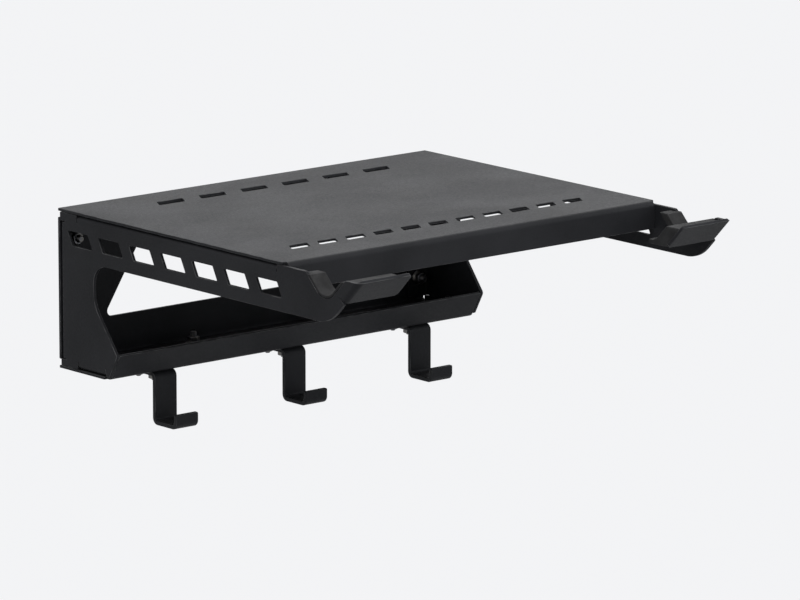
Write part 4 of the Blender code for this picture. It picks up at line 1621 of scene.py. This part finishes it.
@dataclass
class Fasteners:
    """Welded studs with their flange nuts, and the hooks' button-head screws with theirs."""

    finishes: Finishes
    hook_screws: dict[str, Spot]
    hook_sheet: float
    stud: Thread = Thread(radius=0.0025, pitch=0.0008)
    stud_length: float = 0.0110
    stud_chamfer: float = 0.0006
    stud_nut: FlangeNut = FlangeNut(0.0080, 0.0050, flange=0.0056, flange_sheet=0.0012, bore=0.0026)
    screw: ButtonScrew = ButtonScrew(Thread(radius=0.0020, pitch=0.0007))
    screw_end: float = 0.0012
    screw_nut: FlangeNut = FlangeNut(0.0070, 0.0044, flange=0.0047, flange_sheet=0.0010, bore=0.0021)

    def _show(self, node: str, form: str, master: Mesh, seat: Vector, turn: float, lift: float) -> None:
        """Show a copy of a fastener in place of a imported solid.

        Args:
            node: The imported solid.
            form: What the piece is.
            master: The fastener's mesh along Z.
            seat: The point over which it stands.
            turn: How far it is turned about X.
            lift: How far it stands off that point.
        """
        mesh = master.copy()
        turned = Matrix.Translation(seat) @ Matrix.Rotation(turn, 4, "X")
        mesh.transform(turned @ Matrix.Translation((0, 0, lift)))
        self.finishes.piece(node, form, mesh, Coat.ZINC)

    def build_studs(self) -> None:
        """Show the welded studs and their nuts."""
        size = HANGER
        turns = {"shelf": math.pi, "tray": 0.0, "back": math.pi / 2}
        level = {"shelf": size.height - size.plate_sheet, "tray": size.plate_sheet}
        stud = finished_mesh(self.stud.rod(0.0, self.stud_length, (0.0, self.stud_chamfer)))
        nut = self.stud_nut.mesh()
        for sheet, studs in size.studs().items():
            turn = turns[sheet]
            for name, (x, place) in studs.items():
                depth, height = (size.plate_sheet, place) if sheet == "back" else (place, level[sheet])
                seat = size.at(x, depth, height)
                held = size.plate_sheet if name.startswith("back_") else size.side_sheet
                self._show(f"{sheet}_stud_{name}", "threaded", stud, seat, turn, size.gap)
                self._show(f"{sheet}_nut_{name}", "flanged", nut, seat, turn, held + 2 * size.gap)

    def build_hook_screws(self) -> None:
        """Show the hooks' screws and nuts."""
        size = HANGER
        below = self.hook_sheet + 2 * size.gap
        end = -below - self.screw_nut.height - self.screw_end
        screw = self.screw.mesh(end, size.plate_sheet + size.gap)
        nut = self.screw_nut.mesh()
        for name, (x, depth) in self.hook_screws.items():
            seat = size.at(x, depth, 0)
            self._show(f"hook_screw_{name}", "threaded", screw, seat, 0.0, 0.0)
            self._show(f"hook_nut_{name}", "flanged", nut, seat, math.pi, below)

    def build(self) -> None:
        """Show all fasteners."""
        self.build_studs()
        self.build_hook_screws()


# Floor, light and camera


def aim(thing: bpy.types.Object, place: Triple, target: Triple) -> None:
    """Put a lamp or a camera at a place and turn it to its target."""
    thing.location = place
    thing.rotation_euler = (Vector(target) - Vector(place)).to_track_quat("-Z", "Y").to_euler()


@dataclass(frozen=True)
class Lamp:
    """A square soft lamp with its power in watts."""

    name: str
    place: Triple
    size: float
    power: float
    colour: Triple

    def hang(self, target: Triple) -> None:
        """Hang the lamp.

        Args:
            target: What it looks at.
        """
        lamp = bpy.data.lights.new(self.name, "AREA")
        lamp.shape = "SQUARE"
        lamp.size = self.size
        lamp.energy = self.power
        lamp.color = self.colour
        aim(placed(self.name, lamp), self.place, target)


@dataclass
class Studio:
    """A plain pale floor far below, soft light and the photograph's viewing angle."""

    floor_drop: float = 6.5
    floor_span: float = 120.0
    floor_backdrop_share: float = 0.97
    eye: Triple = (-3.0675, -3.8, 0.957)
    target: Triple = (0.006, -0.168, -0.048)
    lens: float = 306.0
    sensor: float = 36.0
    sight: float = 200.0
    backdrop: Triple = (0.915, 0.92, 0.935)
    room_colour: Triple = (0.92, 0.96, 1.0)
    room_strength: float = 0.38
    lamps: tuple[Lamp, ...] = (
        Lamp("ceiling_light", (-0.7, -1.6, 2.4), size=1.7, power=68.0, colour=(1.0, 0.99, 0.97)),
        Lamp("room_light", (2.2, -1.8, 0.9), size=1.8, power=16.0, colour=(0.95, 0.98, 1.0)),
        Lamp("rim_light", (2.3, 2.2, 1.5), size=1.8, power=14.0, colour=(0.97, 0.98, 1.0)),
    )

    def build_floor(self) -> None:
        """Lay a floor that shows as the plain backdrop and still takes the hanger's shadow."""
        work = bmesh.new()
        bmesh.ops.create_grid(work, x_segments=1, y_segments=1, size=self.floor_span / 2)
        bmesh.ops.translate(work, verts=work.verts, vec=(0, 0, -self.floor_drop))
        mesh = finished_mesh(work)
        sketch = PaleFloor().sketch()
        sketch.show_backdrop("ShaderNodeEmission", self.backdrop, self.floor_backdrop_share,
                             sketch.shader.outputs["BSDF"], "Material Output")
        mesh.materials.append(sketch.material)
        floor = placed("floor", mesh)

    def build_world(self) -> None:
        """Surround all with pale light that shows bright behind the hanger."""
        world = bpy.data.worlds.new("pale_room")
        bpy.context.scene.world = world
        sketch = NodeSketch(world)
        light = sketch.tree.nodes["Background"]
        sketch.feed(light, {"Color": self.room_colour, "Strength": self.room_strength})
        sketch.show_backdrop("ShaderNodeBackground", self.backdrop, 1.0,
                             light.outputs["Background"], "World Output")

    def build_camera(self) -> None:
        """Set the camera where the photograph was taken from, turned to the hanger."""
        data = bpy.data.cameras.new("camera")
        data.lens = self.lens
        data.sensor_width = self.sensor
        data.clip_end = self.sight
        camera = placed("camera", data)
        aim(camera, self.eye, self.target)
        bpy.context.scene.camera = camera

    def build(self) -> None:
        """Set up the floor, the light and the camera."""
        self.build_floor()
        self.build_world()
        for lamp in self.lamps:
            lamp.hang(self.target)
        self.build_camera()
        bpy.context.scene.view_settings.view_transform = "Standard"


def main() -> None:
    """Build the hanger's detailed pieces and the studio."""
    logging.basicConfig(level=logging.INFO, format="%(name)s: %(message)s")
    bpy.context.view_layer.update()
    finishes = Finishes()
    finishes.dress_solids()
    panel = SidePanel(finishes)
    panel.build()
    ShelfPlate(finishes).build()
    hooks = Hooks(finishes)
    hooks.build()
    LowerTray(finishes, list(hooks.screw_places().values())).build()
    BackPlate(finishes).build()
    CradlePads(finishes, panel).build()
    Fasteners(finishes, hooks.screw_places(), hooks.sheet).build()
    Studio().build()


if __name__ == "__main__":
    main()
